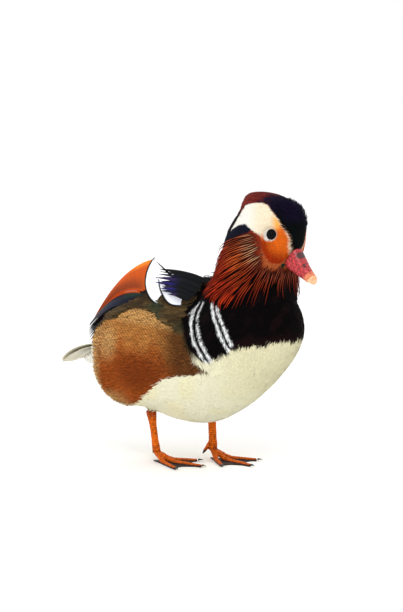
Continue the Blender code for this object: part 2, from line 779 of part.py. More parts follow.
def claw_mesh(side, toe):
    """A curved claw just ahead of its toe, held clear of the floor."""
    path, radii = toe_path(side, toe)
    direction = toe_direction(side, toe)
    root = path[-1] + direction * (radii[-1] * 0.5 + GAP)
    rings = []
    steps = 4
    up = Vector((0, 0, 1))
    across = up.cross(direction)
    for i in range(steps + 1):
        t = i / steps
        radius = 1.25 * MM * (1 - t)
        sink = -0.55 * MM * t * t
        centre = root + direction * CLAW_LENGTH * t + up * (0.5 * MM * math.sin(math.pi * t) + sink + CLAW_LIFT)
        rings.append([centre] if i == steps else oval_ring(centre, across, up, radius, radius, radius * 0.9, 6))
    return mesh_from_bmesh("claw", loft(rings))


def shank_path(side):
    ground, ahead, _ = foot_place(side)
    ankle = ground + Vector((-ANKLE_SETBACK if side < 0 else -ANKLE_SETBACK_FAR, 0, ANKLE_HEIGHT))
    foot = ground + Vector((0, 0, SHANK_FOOT_HEIGHT))
    return ankle, foot


def shank_tube(side):
    """Points down the middle of a shank, from the ankle to the toes, and its radius at each."""
    ankle, bottom = shank_path(side)
    path, radii = [], []
    steps = 8
    for i in range(steps + 1):
        t = i / steps
        path.append(ankle.lerp(bottom, t))
        swell = (ANKLE_RADIUS - SHANK_RADIUS) * (1 - smooth_step(t, 0.0, 0.38))
        heel = 1.0 * MM * smooth_step(t, 0.72, 1.0)
        radii.append(SHANK_RADIUS + swell + heel)
    return path, radii


def shank_mesh(side, body, cutters):
    """The bare scaly shank, from the ankle down to the toes."""
    path, radii = shank_tube(side)
    mesh = mesh_from_bmesh("shank", tapered_tube(path, radii, 10))
    mesh = cut(mesh, Vector((0, 0, FOOT_CUT_Z + GAP / 2)), Vector((0, 0, -1)))
    return largest_body(boolean(mesh, grown(body, GAP), "DIFFERENCE", cutters))


def thigh_mesh(side, body, shank, cutters):
    """The feathered cuff that the shank comes out of."""
    ankle, bottom = shank_path(side)
    top = ankle + Vector((4, side * 1, 14)) * MM
    low = ankle + (bottom - ankle).normalized() * THIGH_CUFF
    path = [top.lerp(low, i / 6) for i in range(7)]
    radii = [THIGH_RADIUS + (CUFF_RADIUS - THIGH_RADIUS) * smooth_step(i / 6, 0, 1) for i in range(7)]
    mesh = mesh_from_bmesh("thigh", tapered_tube(path, radii, 14))
    mesh = boolean(mesh, grown(body, GAP), "DIFFERENCE", cutters)
    return largest_body(boolean(mesh, grown(shank, GAP), "DIFFERENCE", cutters))


def hallux_mesh(side, cutters):
    """The short hind toe, which hangs clear of the floor."""
    ground, ahead, outer = foot_place(side)
    back = (-ahead - outer).normalized()
    root = ground + Vector((0, 0, HALLUX_HEIGHT)) + back * 2 * MM
    fall = back * math.cos(HALLUX_DROP) - Vector((0, 0, math.sin(HALLUX_DROP)))
    steps = 7
    path = [root + fall * HALLUX_LENGTH * i / steps for i in range(steps + 1)]
    radii = [1.7 * MM * (1 - 0.25 * i / steps) if i < steps - 1 else 1.0 * MM for i in range(steps + 1)]
    radii[-1] = 0.55 * MM
    mesh = mesh_from_bmesh("hallux", tapered_tube(path, radii, 8))
    tube_path, tube_radii = shank_tube(side)
    wider = [radius + GAP for radius in tube_radii]
    tube = mesh_from_bmesh("tube", tapered_tube(tube_path, wider, 10))
    return largest_body(boolean(mesh, tube, "DIFFERENCE", cutters))


def move_to_origin(objects):
    """Shifts the bird so that the middle of its box is over the origin."""
    points = [obj.matrix_world @ vertex.co for obj in objects for vertex in obj.data.vertices]
    middle = [(min(p[i] for p in points) + max(p[i] for p in points)) / 2 for i in (0, 1)]
    for obj in objects:
        obj.location = Vector((-middle[0], -middle[1], 0))
    print("box middle in mm:", [round(m * 1000, 3) for m in middle])


def build_bird():
    clear_scene()
    bird = new_collection("mandarin_duck")
    cutters = new_collection("cutters")
    body, fine = build_flesh(cutters)
    meshes = part_flesh(body, fine)
    for letter, side in SIDES.items():
        eye = eye_mesh(side, EYE_RADIUS)
        meshes["head"] = boolean(meshes["head"], eye_mesh(side, EYE_RADIUS + GAP), "DIFFERENCE", cutters)
        meshes[f"eye_{letter}"] = eye
    upper = bill_mesh(True, fine, cutters)
    meshes["bill_upper"], meshes["bill_nail"] = split_nail(upper)
    meshes["bill_lower"] = bill_mesh(False, fine, cutters)
    meshes["tail"] = tail_mesh(body, cutters)
    meshes["undertail_coverts"] = undertail_mesh(body, meshes["tail"], cutters)
    for letter, side in SIDES.items():
        shoulder = shoulder_mesh(side, body, cutters)
        wing = wing_mesh(side, body, shoulder, cutters)
        meshes[f"shoulder_{letter}"] = shoulder
        meshes[f"wing_{letter}"] = wing
        sail = sail_mesh(letter, body, wing, shoulder, cutters)
        meshes[f"sail_{letter}"] = sail
        meshes[f"plume_{letter}"] = plume_mesh(letter, (body, wing, shoulder, sail), cutters)
        primaries = primaries_mesh(side, body, wing, cutters)
        for other in (meshes["tail"], sail):
            primaries = largest_body(boolean(primaries, grown(other, GAP), "DIFFERENCE", cutters))
        meshes[f"primaries_{letter}"] = primaries
        foot = foot_mesh(side, cutters)
        shank = shank_mesh(side, body, cutters)
        meshes[f"foot_{letter}"] = foot
        meshes[f"shank_{letter}"] = shank
        meshes[f"thigh_{letter}"] = thigh_mesh(side, body, shank, cutters)
        meshes[f"hallux_{letter}"] = hallux_mesh(side, cutters)
        for toe in TOE_LENGTHS:
            meshes[f"claw_{toe}_{letter}"] = claw_mesh(side, toe)
    objects = []
    for name, mesh in meshes.items():
        colour, roughness = LOOKS[name.split("_")[0] if name not in LOOKS else name]
        objects.append(add_object(name, mesh, bird, make_material(name, colour, roughness)))
    cutters_left = list(cutters.objects)
    for obj in cutters_left:
        bpy.data.objects.remove(obj)
    move_to_origin(objects)


build_bird()
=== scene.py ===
"""Looks of the mandarin drake: one skin, a coat of feathers over it, and the bill, eyes and legs."""
import json
import math
from functools import partial

import bpy
import numpy as np
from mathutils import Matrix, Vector
from mathutils.bvhtree import BVHTree

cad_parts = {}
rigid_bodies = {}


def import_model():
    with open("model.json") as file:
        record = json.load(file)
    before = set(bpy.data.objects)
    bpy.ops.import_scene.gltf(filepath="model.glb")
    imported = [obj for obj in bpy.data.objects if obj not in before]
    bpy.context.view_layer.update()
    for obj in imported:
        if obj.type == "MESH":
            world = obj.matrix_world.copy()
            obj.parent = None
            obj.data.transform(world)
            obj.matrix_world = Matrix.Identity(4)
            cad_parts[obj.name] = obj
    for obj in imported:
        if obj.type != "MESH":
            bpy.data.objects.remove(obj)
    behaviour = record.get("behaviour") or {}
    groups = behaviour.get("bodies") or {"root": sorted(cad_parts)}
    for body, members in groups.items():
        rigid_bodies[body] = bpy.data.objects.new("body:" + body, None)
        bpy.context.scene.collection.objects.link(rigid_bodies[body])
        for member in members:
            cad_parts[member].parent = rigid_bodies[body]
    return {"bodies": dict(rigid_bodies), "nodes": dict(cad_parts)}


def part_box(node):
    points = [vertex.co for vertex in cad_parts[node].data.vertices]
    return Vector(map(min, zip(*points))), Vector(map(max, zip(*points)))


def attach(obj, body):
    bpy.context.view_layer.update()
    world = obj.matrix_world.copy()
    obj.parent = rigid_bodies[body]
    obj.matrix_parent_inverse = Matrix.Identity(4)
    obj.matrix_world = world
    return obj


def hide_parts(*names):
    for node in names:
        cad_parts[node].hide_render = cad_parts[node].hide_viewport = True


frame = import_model()

# Units and frame: the bird's own axes in mm, X forward, Y to its left, Z up, found from its eyes
MM = 0.001
SIDES = {"r": -1, "l": 1}
EYE = np.array((114.7, 16.4, 203.3))
EYE_LOOK = (0.45, 0.86, 0.24)
EYE_AXIS = np.array(EYE_LOOK) / np.linalg.norm(EYE_LOOK)
EYE_SEAT = EYE + (-0.8, 0.0, -0.9)  # where the lids open
EYEBALL_RADIUS = 4.5
EYEBALL_SHIFT = 0.6  # how far out of the socket's middle the eyeball sits
OPENING_RADIUS = 3.85
OPENING_WIDTH = 0.88  # the opening's width against its height
FACE_HEIGHT = 2.5  # the skin's height round the eye, from the socket's middle
BILL_ROOT = np.array((130.5, 0.0, 187.5))
GAPE = np.array((119.0, 8.0, 178.0))

# Photograph's frame in pixels, and the view that it was taken from
PHOTO_WIDTH = 403
PHOTO_HEIGHT = 612
PIXEL = 0.85
ORIGIN_PIXEL = (185, 460)
AZIMUTH = math.radians(44)
ELEVATION = math.radians(8)
CAMERA_DISTANCE = 2000
SENSOR = 36

# Skin
FLESH = ("head", "neck", "breast", "trunk", "rump", "thigh_r", "thigh_l", "undertail_coverts",
         "wing_r", "wing_l", "shoulder_r", "shoulder_l")
SKIN_OVERLAP = 0.7
SKIN_VOXEL = 1.6
SKIN_SMOOTHING = 9
HEAD_DEPTH = 0.8
BODY_DEPTH = 2.2
HIND_DEPTH = 2.2  # how much deeper the skin lies under the flank's loose hind edge
# painted shade: the skin under the coat gets this share of the coat's colours, as shade beneath the tufts
SKIN_PAINTED_SHADE = 0.75


def srgb(red, green, blue):
    """A screen colour, each part from 0 to 255, as linear light."""
    share = np.array((red, green, blue)) / 255
    return np.where(share <= 0.04045, share / 12.92, ((share + 0.055) / 1.055) ** 2.4)


# Colours of the plumage
WHITE = srgb(236, 238, 238)
STRIPE_WHITE = srgb(227, 224, 215)
CREAM = srgb(229, 214, 186)
FACE_AMBER = srgb(246, 176, 84)
CHEEK_ORANGE = srgb(226, 104, 24)
CHEEK_DEEP = srgb(150, 42, 6)
CHEEK_RED = srgb(138, 48, 26)
CROWN_RED = srgb(104, 34, 28)
CROWN_PURPLE = srgb(17, 11, 34)
CROWN_GREEN = srgb(5, 10, 10)
CREST_DARK = srgb(20, 8, 12)
NAPE_BLUE = srgb(15, 16, 33)
GAPE_GREEN = srgb(14, 52, 40)
CHIN_BROWN = srgb(176, 90, 46)
RUFF_DARK = srgb(44, 10, 5)
RUFF_BLACK = srgb(10, 3, 2)
RUFF_CHESTNUT = srgb(128, 38, 14)
SHAFT_CREAM = srgb(243, 196, 146)
SHAFT_ORANGE = srgb(236, 104, 40)
SHAFT_RED = srgb(218, 62, 22)
BREAST_BLACK = srgb(3, 1, 2)
BREAST_MAROON = srgb(26, 8, 10)
BELLY_CREAM = srgb(225, 222, 194)
BELLY_WARM = srgb(226, 220, 182)
FLANK_BUFF = srgb(168, 110, 54)
FLANK_CHESTNUT = srgb(150, 72, 22)
FLANK_DEEP = srgb(100, 42, 12)
FLANK_PALE = srgb(208, 168, 106)
FLANK_DARK = srgb(84, 50, 22)
BACK_OLIVE = srgb(60, 46, 26)
BACK_DARK = srgb(7, 10, 14)
# green of the painted sheen on the back and wing coverts
BACK_SHEEN_GREEN = srgb(26, 54, 40)
RUMP_BLACK = srgb(18, 20, 18)
SCAPULAR_BLUE = srgb(24, 20, 96)
SCAPULAR_PURPLE = srgb(46, 28, 78)
PLUME_WHITE = srgb(238, 241, 250)
FEATHER_BLACK = srgb(8, 8, 10)
SAIL_ORANGE = srgb(196, 80, 20)
SAIL_BROWN = srgb(146, 60, 22)
SAIL_BRIGHT = srgb(214, 84, 20)
SAIL_GOLD = srgb(240, 132, 36)
SAIL_TEAL = srgb(14, 44, 38)
SAIL_NAVY = srgb(9, 14, 38)
QUILL_DARK = srgb(16, 17, 24)
QUILL_BLUE = srgb(18, 26, 70)
QUILL_EDGE = srgb(44, 46, 52)
TAIL_GREY = srgb(228, 223, 204)
TAIL_OLIVE = srgb(206, 200, 176)

# Colours of the bare parts
BILL_RED = srgb(144, 12, 22)
BILL_PINK = srgb(210, 46, 50)
BILL_DARK = srgb(34, 8, 12)
NAIL_PEACH = srgb(246, 184, 140)
NAIL_ORANGE = srgb(232, 142, 92)
LEG_ORANGE = srgb(206, 96, 20)
TOE_ORANGE = srgb(196, 90, 22)
ANKLE_RED = srgb(154, 56, 14)
ANKLE_GREY = srgb(128, 104, 92)
# dark of the webs, also used as painted shade on the toes' undersides
DARK_WEB_AND_SHADE = srgb(44, 36, 34)
CLAW_DARK = srgb(34, 28, 26)
CLAW_PALE = srgb(150, 124, 96)
EYE_BLACK = srgb(4, 4, 6)
IRIS_BROWN = srgb(14, 11, 14)
LID_GREY = srgb(14, 12, 14)
FLOOR_GREY = (0.95, 0.95, 0.95, 1)

# Outlines of the head's markings, seen from the side: X and Z along the surface
FACE_OUTLINE = ((83, 224), (92, 226.2), (101, 227), (108, 225.4), (115, 220), (121, 214.5), (125.4, 208),
                (127.4, 200), (126.4, 191), (122.5, 184.5), (118.5, 180), (115, 181), (112, 188),
                (109.5, 196), (107.5, 202), (103, 204.6), (94, 208), (86, 209.4), (79.5, 206), (72, 201),
                (74, 212), (79.5, 219))
NAPE_OUTLINE = ((68, 200), (75, 204.8), (82, 208), (91, 210), (100, 206.4), (96, 203.6), (86.5, 201.4),
                (79, 197), (74, 191), (71, 184), (60, 182), (62, 194))
CROWN_OUTLINE = ((83, 224), (92, 226.2), (101, 227), (108, 225.4), (115, 220), (121, 214.5),
                 (125.4, 208), (127.4, 200), (126.2, 192), (124.6, 186), (140, 184), (146, 215),
                 (128, 245), (90, 250), (60, 235), (50, 205), (50, 176), (59, 178), (62, 192),
                 (68, 201), (75, 207), (76.5, 212), (79.5, 218.5))
RUFF_FAN = np.array((140.0, 0.0, 212.0))
RUFF_TIPS = ((60, 154), (70, 149), (80, 143.5), (92, 144), (101, 151), (107, 157), (114, 161), (120, 163))

# Outlines of the body's markings, seen from the side
FLANK_OUTLINE = ((-57, 96), (-56, 110), (-47, 119), (-33, 122.5), (-21, 129), (-13, 133), (5, 130.5),
                 (23, 124.5), (43, 115.5), (51, 103), (60, 93.5), (68, 88), (57, 86), (41, 83.5),
                 (24, 79), (11, 69), (-1, 60), (-12, 54.5), (-24, 52), (-38, 54.5), (-49, 61), (-55, 76))
BREAST_LOW_EDGE = ((60, 98), (71, 97.5), (81, 102), (89, 107.5), (97, 111.5), (106, 114), (124, 117))
BREAST_REAR_EDGE = ((96, 62), (98, 64), (106, 53), (116, 46), (126, 39), (134, 36.5), (150, 34))
WHITE_BARS = (((51, 143.5), (46.5, 134), (50, 125), (55.5, 115), (61.5, 106.5), (69, 96)),
              ((60, 145), (54, 134.5), (57.2, 125), (62.8, 115), (68.2, 106), (73, 98.5)),
              ((72.5, 145), (74, 134), (78, 124.5), (83, 115.5), (88, 108)),
              ((78, 143), (79.6, 133), (85.5, 121), (90, 113)))
BAR_HALF_WIDTH = 1.2

# Sail, the innermost wing feather that stands up over the back
SAIL_FRONT = np.array((-16.0, 27.0, 143.0))
SAIL_MIDDLE = np.array((-60.5, 21.5, 137.0))
SAIL_TIP = np.array((-97.0, 17.0, 109.0))
SAIL_HEIGHT = 31
SAIL_LEAN = {"r": math.radians(8), "l": math.radians(75)}
SAIL_BEND = {"r": math.radians(1), "l": math.radians(80)}
SAIL_FORWARD = 12
SAIL_THICKNESS = 0.5

# Tail
TAIL_ROOT = np.array((-82.0, 0.0, 92.0))
TAIL_LENGTH = 64
TAIL_DROOP = math.radians(20.8)
TAIL_HALF_WIDTH = 20
TAIL_BOW = 4.5
TAIL_FEATHERS = 7


# Arrays and colours

def unit(vectors):
    return vectors / np.maximum(np.linalg.norm(vectors, axis=-1, keepdims=True), 1e-9)


def smooth_step(values, low, high):
    share = np.clip((values - low) / (high - low), 0, 1)
    return share * share * (3 - 2 * share)


def fade(values, low, high):
    """1 below low and 0 above high."""
    return 1 - smooth_step(values, low, high)


def mirrored(places):
    """The same places on the left side."""
    return np.column_stack((places[:, 0], np.abs(places[:, 1]), places[:, 2]))


def beside(places, left_place):
    """A place on the left side, moved over for each of these places that lies on the right."""
    side = np.where(places[:, 1] < 0, -1, 1)
    return left_place * np.column_stack((np.ones(len(side)), side, np.ones(len(side))))


def mix(base, over, amount):
    """Colours between base and over."""
    return base + (over - base) * np.asarray(amount)[..., None]


def flatten(flow, normals):
    """Directions turned to lie along the surface."""
    return unit(flow - np.sum(flow * normals, axis=-1, keepdims=True) * normals)


CLOUD_WAVES = 7
CLOUD_STRETCH = (0.7, 1.6)
CLOUD_PEAK = 3.2


def cloud(places, size, seed):
    """Smooth variation from -1 to 1, with features about size mm across."""
    rng = np.random.default_rng(seed)
    total = np.zeros(places.shape[:-1])
    for _ in range(CLOUD_WAVES):
        wave = unit(rng.normal(size=3)) * rng.uniform(*CLOUD_STRETCH) * 2 * math.pi / size
        total += np.sin(places @ wave + rng.uniform(0, 2 * math.pi))
    return np.clip(total / CLOUD_PEAK, -1, 1)


def signed_distance(flat, outline):
    """Distance inside a closed outline, negative outside it."""
    points = np.array(outline, float)
    best = np.full(len(flat), 1e9)
    inside = np.zeros(len(flat), bool)
    for start, end in zip(points, np.roll(points, -1, axis=0)):
        best = np.minimum(best, segment_distance(flat, start, end))
        crosses = (start[1] > flat[:, 1]) != (end[1] > flat[:, 1])
        rise = end[1] - start[1]
        reach = start[0] + (end[0] - start[0]) * (flat[:, 1] - start[1]) / (rise if rise else 1e-9)
        inside ^= crosses & (flat[:, 0] < reach)
    return np.where(inside, best, -best)


def segment_distance(flat, start, end):
    edge = end - start
    offset = flat - start
    share = np.clip(offset @ edge / (edge @ edge), 0, 1)
    return np.linalg.norm(offset - share[:, None] * edge, axis=1)


def line_distance(flat, line):
    points = np.array(line, float)
    return np.min([segment_distance(flat, a, b) for a, b in zip(points, points[1:])], axis=0)


def level(values, keys):
    """The height of a line of keys at each value."""
    across, height = np.array(keys, float).T
    return np.interp(values, across, height)


# Frame

def node_middle(node):
    low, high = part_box(node)
    return (np.array(low) + np.array(high)) / 2 / MM


def bird_origin():
    """Where the bird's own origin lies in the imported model's frame, in mm."""
    return (node_middle("eye_r") + node_middle("eye_l")) / 2 - EYE * (1, 0, 1)


def clear_startup():
    """Removes whatever the scene opened with."""
    kept = set(frame["nodes"].values()) | set(frame["bodies"].values())
    for thing in list(bpy.data.objects):
        if thing not in kept:
            bpy.data.objects.remove(thing)


clear_startup()
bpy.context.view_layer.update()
ORIGIN = bird_origin()


# Meshes

def placed(name, data):
    """A new object in the scene."""
    made = bpy.data.objects.new(name, data)
    bpy.context.scene.collection.objects.link(made)
    return made


def mesh_of(name, places, triangles):
    """A smooth mesh of places in the bird's own mm."""
    mesh = bpy.data.meshes.new(name)
    mesh.vertices.add(len(places))
    mesh.vertices.foreach_set("co", ((places + ORIGIN) * MM).astype(np.float32).ravel())
    mesh.loops.add(triangles.size)
    mesh.loops.foreach_set("vertex_index", triangles.astype(np.int32).ravel())
    mesh.polygons.add(len(triangles))
    mesh.polygons.foreach_set("loop_start", np.arange(0, triangles.size, 3, dtype=np.int32))
    mesh.update(calc_edges=True)
    mesh.polygons.foreach_set("use_smooth", np.ones(len(triangles), bool))
    return mesh


def paint(mesh, colours, extra=None):
    """Keeps each vertex's colour, and one more value in the fourth part."""
    alpha = np.zeros(len(colours)) if extra is None else extra
    layer = mesh.color_attributes.new("mark", "FLOAT_COLOR", "POINT")
    layer.data.foreach_set("color", np.column_stack((colours, alpha)).astype(np.float32).ravel())


def add_piece(mesh, material, nodes):
    """Puts a mesh in the scene as a piece that stands for these nodes."""
    mesh.materials.append(MATERIALS[material])
    piece = placed(mesh.name, mesh)
    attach(piece, "root")
    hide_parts(*nodes)
    return piece


def node_arrays(node):
    """A node's welded places in the bird's mm, its normals and its triangles."""
    mesh = frame["nodes"][node].data
    mesh.calc_loop_triangles()
    places = np.array([v.co for v in mesh.vertices]) / MM - ORIGIN
    triangles = np.array([t.vertices for t in mesh.loop_triangles])
    _, first, same = np.unique(places.round(3), axis=0, return_index=True, return_inverse=True)
    places = places[first]
    triangles = same.ravel()[triangles]
    return places, vertex_normals(places, triangles), triangles


def vertex_normals(places, triangles):
    a, b, c = (places[triangles[:, k]] for k in range(3))
    faces = np.cross(b - a, c - a)
    normals = np.zeros_like(places)
    for k in range(3):
        np.add.at(normals, triangles[:, k], faces)
    return unit(normals)


def fused(name, nodes, overlap, voxel, smoothing):
    """Nodes grown until they touch and run together into one smooth surface."""
    places, triangles, count = [], [], 0
    for node in nodes:
        own, normals, faces = node_arrays(node)
        places.append(own + normals * overlap)
        triangles.append(faces + count)
        count += len(own)
    mesh = mesh_of(name, np.concatenate(places), np.concatenate(triangles))
    thing = placed(name, mesh)
    remesh = thing.modifiers.new("run_together", "REMESH")
    remesh.mode = "VOXEL"
    remesh.voxel_size = voxel * MM
    relax = thing.modifiers.new("relax", "SMOOTH")
    relax.factor = 0.5
    relax.iterations = smoothing
    bpy.context.view_layer.update()
    made = thing.evaluated_get(bpy.context.evaluated_depsgraph_get()).to_mesh()
    made.calc_loop_triangles()
    result = np.array([v.co for v in made.vertices]) / MM - ORIGIN
    faces = np.array([t.vertices for t in made.loop_triangles])
    bpy.data.objects.remove(thing)
    bpy.data.meshes.remove(mesh)
    return result - vertex_normals(result, faces) * overlap, faces


class Surface:
    """A closed surface that feathers are laid on."""

    def __init__(self, places, triangles):
        self.places = places
        self.triangles = triangles
        self.normals = vertex_normals(places, triangles)
        self.firsts = triangles[:, 0]  # each triangle's first corner
        self.spots = places[self.firsts]
        self.tree = BVHTree.FromPolygons(places.tolist(), triangles.tolist())

    def nearest(self, places):
        """The nearest place on the surface to each place, and its normal."""
        found = [self.tree.find_nearest(Vector(p)) for p in places]
        spots = np.array([f[0] for f in found])
        faces = self.triangles[[f[2] for f in found]]
        return spots, unit(self.normals[faces].sum(axis=1))

    def distance(self, places):
        return np.array([self.tree.find_nearest(Vector(p))[3] for p in places])

    def scatter(self, density, seed):
        """Seeded roots, so many to the square mm as each triangle's density says."""
        rng = np.random.default_rng(seed)
        a, b, c = (self.places[self.triangles[:, k]] for k in range(3))
        area = np.linalg.norm(np.cross(b - a, c - a), axis=1) / 2
        total = np.cumsum(area * density)
        count = int(total[-1])
        picks = (np.arange(count) + rng.uniform(size=count)) / count * total[-1]
        face = np.minimum(np.searchsorted(total, picks), len(total) - 1)
        first, second = np.sqrt(rng.uniform(size=count)), rng.uniform(size=count)
        shares = np.column_stack((1 - first, first * (1 - second), first * second))
        corners = self.triangles[face]
        roots = np.einsum("nk,nkd->nd", shares, self.places[corners])
        normals = unit(np.einsum("nk,nkd->nd", shares, self.normals[corners]))
        return roots, normals, face


# Markings

def head_colour(places):
    """The colour of the face, crown, nape and ruff at each place."""
    flat = places[:, [0, 2]]
    x, z = flat.T
    side = np.abs(places[:, 1])
    fan = np.linalg.norm(places - RUFF_FAN, axis=1)
    colour = mix(CHEEK_RED, RUFF_DARK, smooth_step(fan, 38, 62))
    colour = mix(colour, RUFF_BLACK, smooth_step(fan, 58, 76) * 0.8)
    colour = mix(colour, RUFF_BLACK, smooth_step(x, 92, 104) * fade(z, 170, 177))
    colour = mix(colour, CHIN_BROWN, smooth_step(x, 108, 114) * smooth_step(z, 173, 178) * 0.9)
    face = signed_distance(flat, FACE_OUTLINE)
    crown = signed_distance(flat, CROWN_OUTLINE) + cloud(places, 1.7, 6) * 0.5
    patch = face_colour(places, crown)
    blend = fade(face, 0.4, 6) * fade(z, 195, 202) * fade(x, 112, 121)
    patch = mix(patch, CHEEK_DEEP, blend * 0.85)
    colour = mix(colour, patch, smooth_step(face, -0.35, 0.35))
    colour = mix(colour, NAPE_BLUE, smooth_step(signed_distance(flat, NAPE_OUTLINE), -0.5, 0.5))
    colour = mix(colour, crown_colour(places), smooth_step(crown, -0.35, 0.35))
    ring = np.linalg.norm((places - EYE_SEAT - (0.5, 0, 0))[:, [0, 2]], axis=1)
    ring_white = smooth_step(ring, 1.6, 2.4) * fade(ring, 4.1, 5.0) * (side > 9)
    colour = mix(colour, STRIPE_WHITE, ring_white)
    gape = np.linalg.norm(places * (1, 0, 1) + side[:, None] * (0, 1, 0) - GAPE, axis=1)
    return mix(colour, GAPE_GREEN, fade(gape, 1.6, 2.6))


def face_colour(places, crown):
    """White above and behind the eye, running into orange on the cheek."""
    x, z = places[:, 0], places[:, 2]
    colour = mix(STRIPE_WHITE, CREAM, smooth_step(x + (z - 212) * 0.3, 90, 108))
    streak = 7 * fade(-crown, 1.5, 7) * smooth_step(x, 103, 110)
    amber = smooth_step((x - 105) + (206 - z) * 0.8 + streak, 4, 17)
    colour = mix(colour, FACE_AMBER, amber)
    orange = smooth_step((x - 106) * 0.6 + (208 - z) * 1.1, 5, 13)
    colour = mix(colour, CHEEK_ORANGE, orange)
    deep = smooth_step(202 - z + (118 - x) * 0.9, 2, 21) * fade(z, 196, 205)
    colour = mix(colour, CHEEK_DEEP, deep)
    border = fade(-crown, 0.3, 1.3) * smooth_step(x, 104, 112)
    return mix(colour, CREAM, border * 0.9)


def crown_colour(places):
    """Copper behind, purple on top and on the forehead, and greenish black below that."""
    x, z = places[:, 0], places[:, 2]
    side = np.abs(places[:, 1])
    streaks = cloud(places * (0.35, 1, 0.7), 2.6, 5)
    purple = CROWN_PURPLE * (1 + 0.7 * streaks)[:, None]
    colour = mix(purple, CROWN_GREEN, smooth_step(228 - z + cloud(places, 9, 3) * 3 + streaks * 5, 2, 14))
    fringe = smooth_step(x, 116, 122) * smooth_step(z, 208, 214) * fade(side, 9, 13)
    colour = mix(colour, CROWN_PURPLE * 1.25, fringe * 0.8)
    copper = fade(x + cloud(places, 7, 4) * 3 + side * 0.4 + streaks * 4, 98, 111)
    colour = mix(colour, CROWN_RED * (1 + 0.35 * streaks)[:, None], copper)
    back = fade(z, 214, 224) * fade(x, 84, 92)
    return mix(colour, CREST_DARK, back)


def body_colour(places):
    """The colour of the trunk, breast, wings and rump at each place, and its vermiculation."""
    flat = places[:, [0, 2]]
    x, z = flat.T
    side = np.abs(places[:, 1])
    colour = mix(BELLY_CREAM, BELLY_WARM, smooth_step(cloud(places, 34, 11), -0.2, 0.9) * 0.8)
    colour = mix(colour, BELLY_WARM * 0.88, smooth_step(x, 50, 105))
    upper = smooth_step(z, 96, 102) * fade(x, 54, 64)
    colour = mix(colour, back_colour(places), upper)
    white_rear = fade(x, -60, -54) * fade(z, 92, 97)
    colour = mix(colour, STRIPE_WHITE, white_rear)
    flank = smooth_step(signed_distance(flat, FLANK_OUTLINE) + cloud(places, 5, 12) * 0.8, -0.6, 0.6)
    flank = flank * smooth_step(side, 16, 22)
    colour = mix(colour, flank_colour(places), flank)
    fine = flank * smooth_step(z, 78, 100)
    dark = smooth_step(x - level(z, BREAST_REAR_EDGE), -0.8, 0.8)
    dark = dark * smooth_step(z - level(x, BREAST_LOW_EDGE) + cloud(places, 6, 13) * 1.6, -0.9, 0.9)
    colour = mix(colour, breast_colour(places), dark)
    return colour, fine * (1 - dark)


def back_colour(places):
    """Dark olive mantle and wing coverts, with a painted green sheen, running to black on the rump."""
    x, z = places[:, 0], places[:, 2]
    side = np.abs(places[:, 1])
    colour = mix(BACK_OLIVE, BACK_OLIVE * 2.0, smooth_step(cloud(places, 13, 21), -0.3, 0.9))
    patchy = 1 - 0.35 * smooth_step(cloud(places, 6, 23), 0.1, 0.8)
    colour = mix(colour, BACK_DARK, smooth_step(36 - side, 0, 12) * patchy)
    # painted sheen: green where the feathers' gloss catches the light, in a spot at the front of the wing
    # and in faint patches on the sides
    gloss = fade(np.hypot(x - 14, z - 133), 5, 13)
    gloss = np.maximum(gloss, smooth_step(cloud(places, 22, 22), 0.5, 0.9) * 0.5) * smooth_step(side, 28, 36)
    colour = mix(colour, BACK_SHEEN_GREEN, gloss * 0.55)
    return mix(colour, RUMP_BLACK, fade(x + (z - 120) * 0.2, -62, -48))


def flank_colour(places):
    """Buff above, chestnut in the middle, deep brown forward and pale at the rear edge."""
    x, z = places[:, 0], places[:, 2]
    slope = z + (x + 20) * 0.12
    colour = mix(FLANK_CHESTNUT, FLANK_BUFF, smooth_step(slope + cloud(places, 20, 31) * 6, 92, 116))
    deep = fade(np.hypot((x - 2) / 36, (z - 82) / 22), 0.3, 1.1)
    colour = mix(colour, FLANK_DEEP, deep * 0.7)
    light = fade(np.hypot((x + 36) / 17, (z - 103) / 19), 0.2, 1.1)
    colour = mix(colour, FLANK_PALE, light * 0.55)
    forward = smooth_step(x + (z - 100) * 0.25, 12, 44)
    colour = mix(colour, FLANK_DARK, forward * 0.95)
    top = smooth_step(z + x * 0.05, 117, 126)
    colour = mix(colour, FLANK_PALE, top * 0.45)
    rear = fade(x, -54, -42)
    colour = mix(colour, FLANK_PALE, rear * 0.65)
    low_rear = fade(x, -40, -10) * fade(z, 56, 68)
    return mix(colour, FLANK_PALE, low_rear * 0.75)


def breast_colour(places):
    """Black-maroon with two double white bars down each side."""
    x, z = places[:, 0], places[:, 2]
    colour = mix(BREAST_BLACK, BREAST_MAROON, smooth_step(cloud(places, 16, 41), 0.1, 1) * 0.5)
    low = fade(z - level(x, BREAST_LOW_EDGE), 2, 9)
    colour = mix(colour, BREAST_MAROON, low * 0.6 * smooth_step(x, 84, 96))
    flat = places[:, [0, 2]]
    ragged = cloud(places * (1, 1, 0.35), 1.9, 42) * 1.05
    broken = 1 - 0.5 * smooth_step(cloud(places * (1, 1, 0.5), 2.4, 43), 0.1, 0.8)
    for line in WHITE_BARS:
        near = line_distance(flat, line) + ragged
        white = fade(near, BAR_HALF_WIDTH - 0.4, BAR_HALF_WIDTH + 0.4)
        colour = mix(colour, WHITE, white * broken)
    return colour


def colour_at(places):
    """The bird's colour and vermiculation anywhere on its feathered surface."""
    body, fine = body_colour(places)
    above = head_share(places)
    return mix(body, head_colour(places), above), fine * (1 - above)


def head_share(places):
    """1 on the head and ruff, 0 below the ruff's tips."""
    x, z = places[:, 0], places[:, 2]
    edge = level(x, RUFF_TIPS) + 4 + np.maximum(0, 60 - x) * 1.4
    return smooth_step(z - edge, -1, 1) * smooth_step(x, 50, 56)


# Flow of the coat

def eye_offset(places):
    """Height along the eye's axis, and distance from it, on the nearer side of the head."""
    offset = mirrored(places) - EYE_SEAT
    height = offset @ EYE_AXIS
    return height, np.linalg.norm(offset - height[:, None] * EYE_AXIS, axis=1)


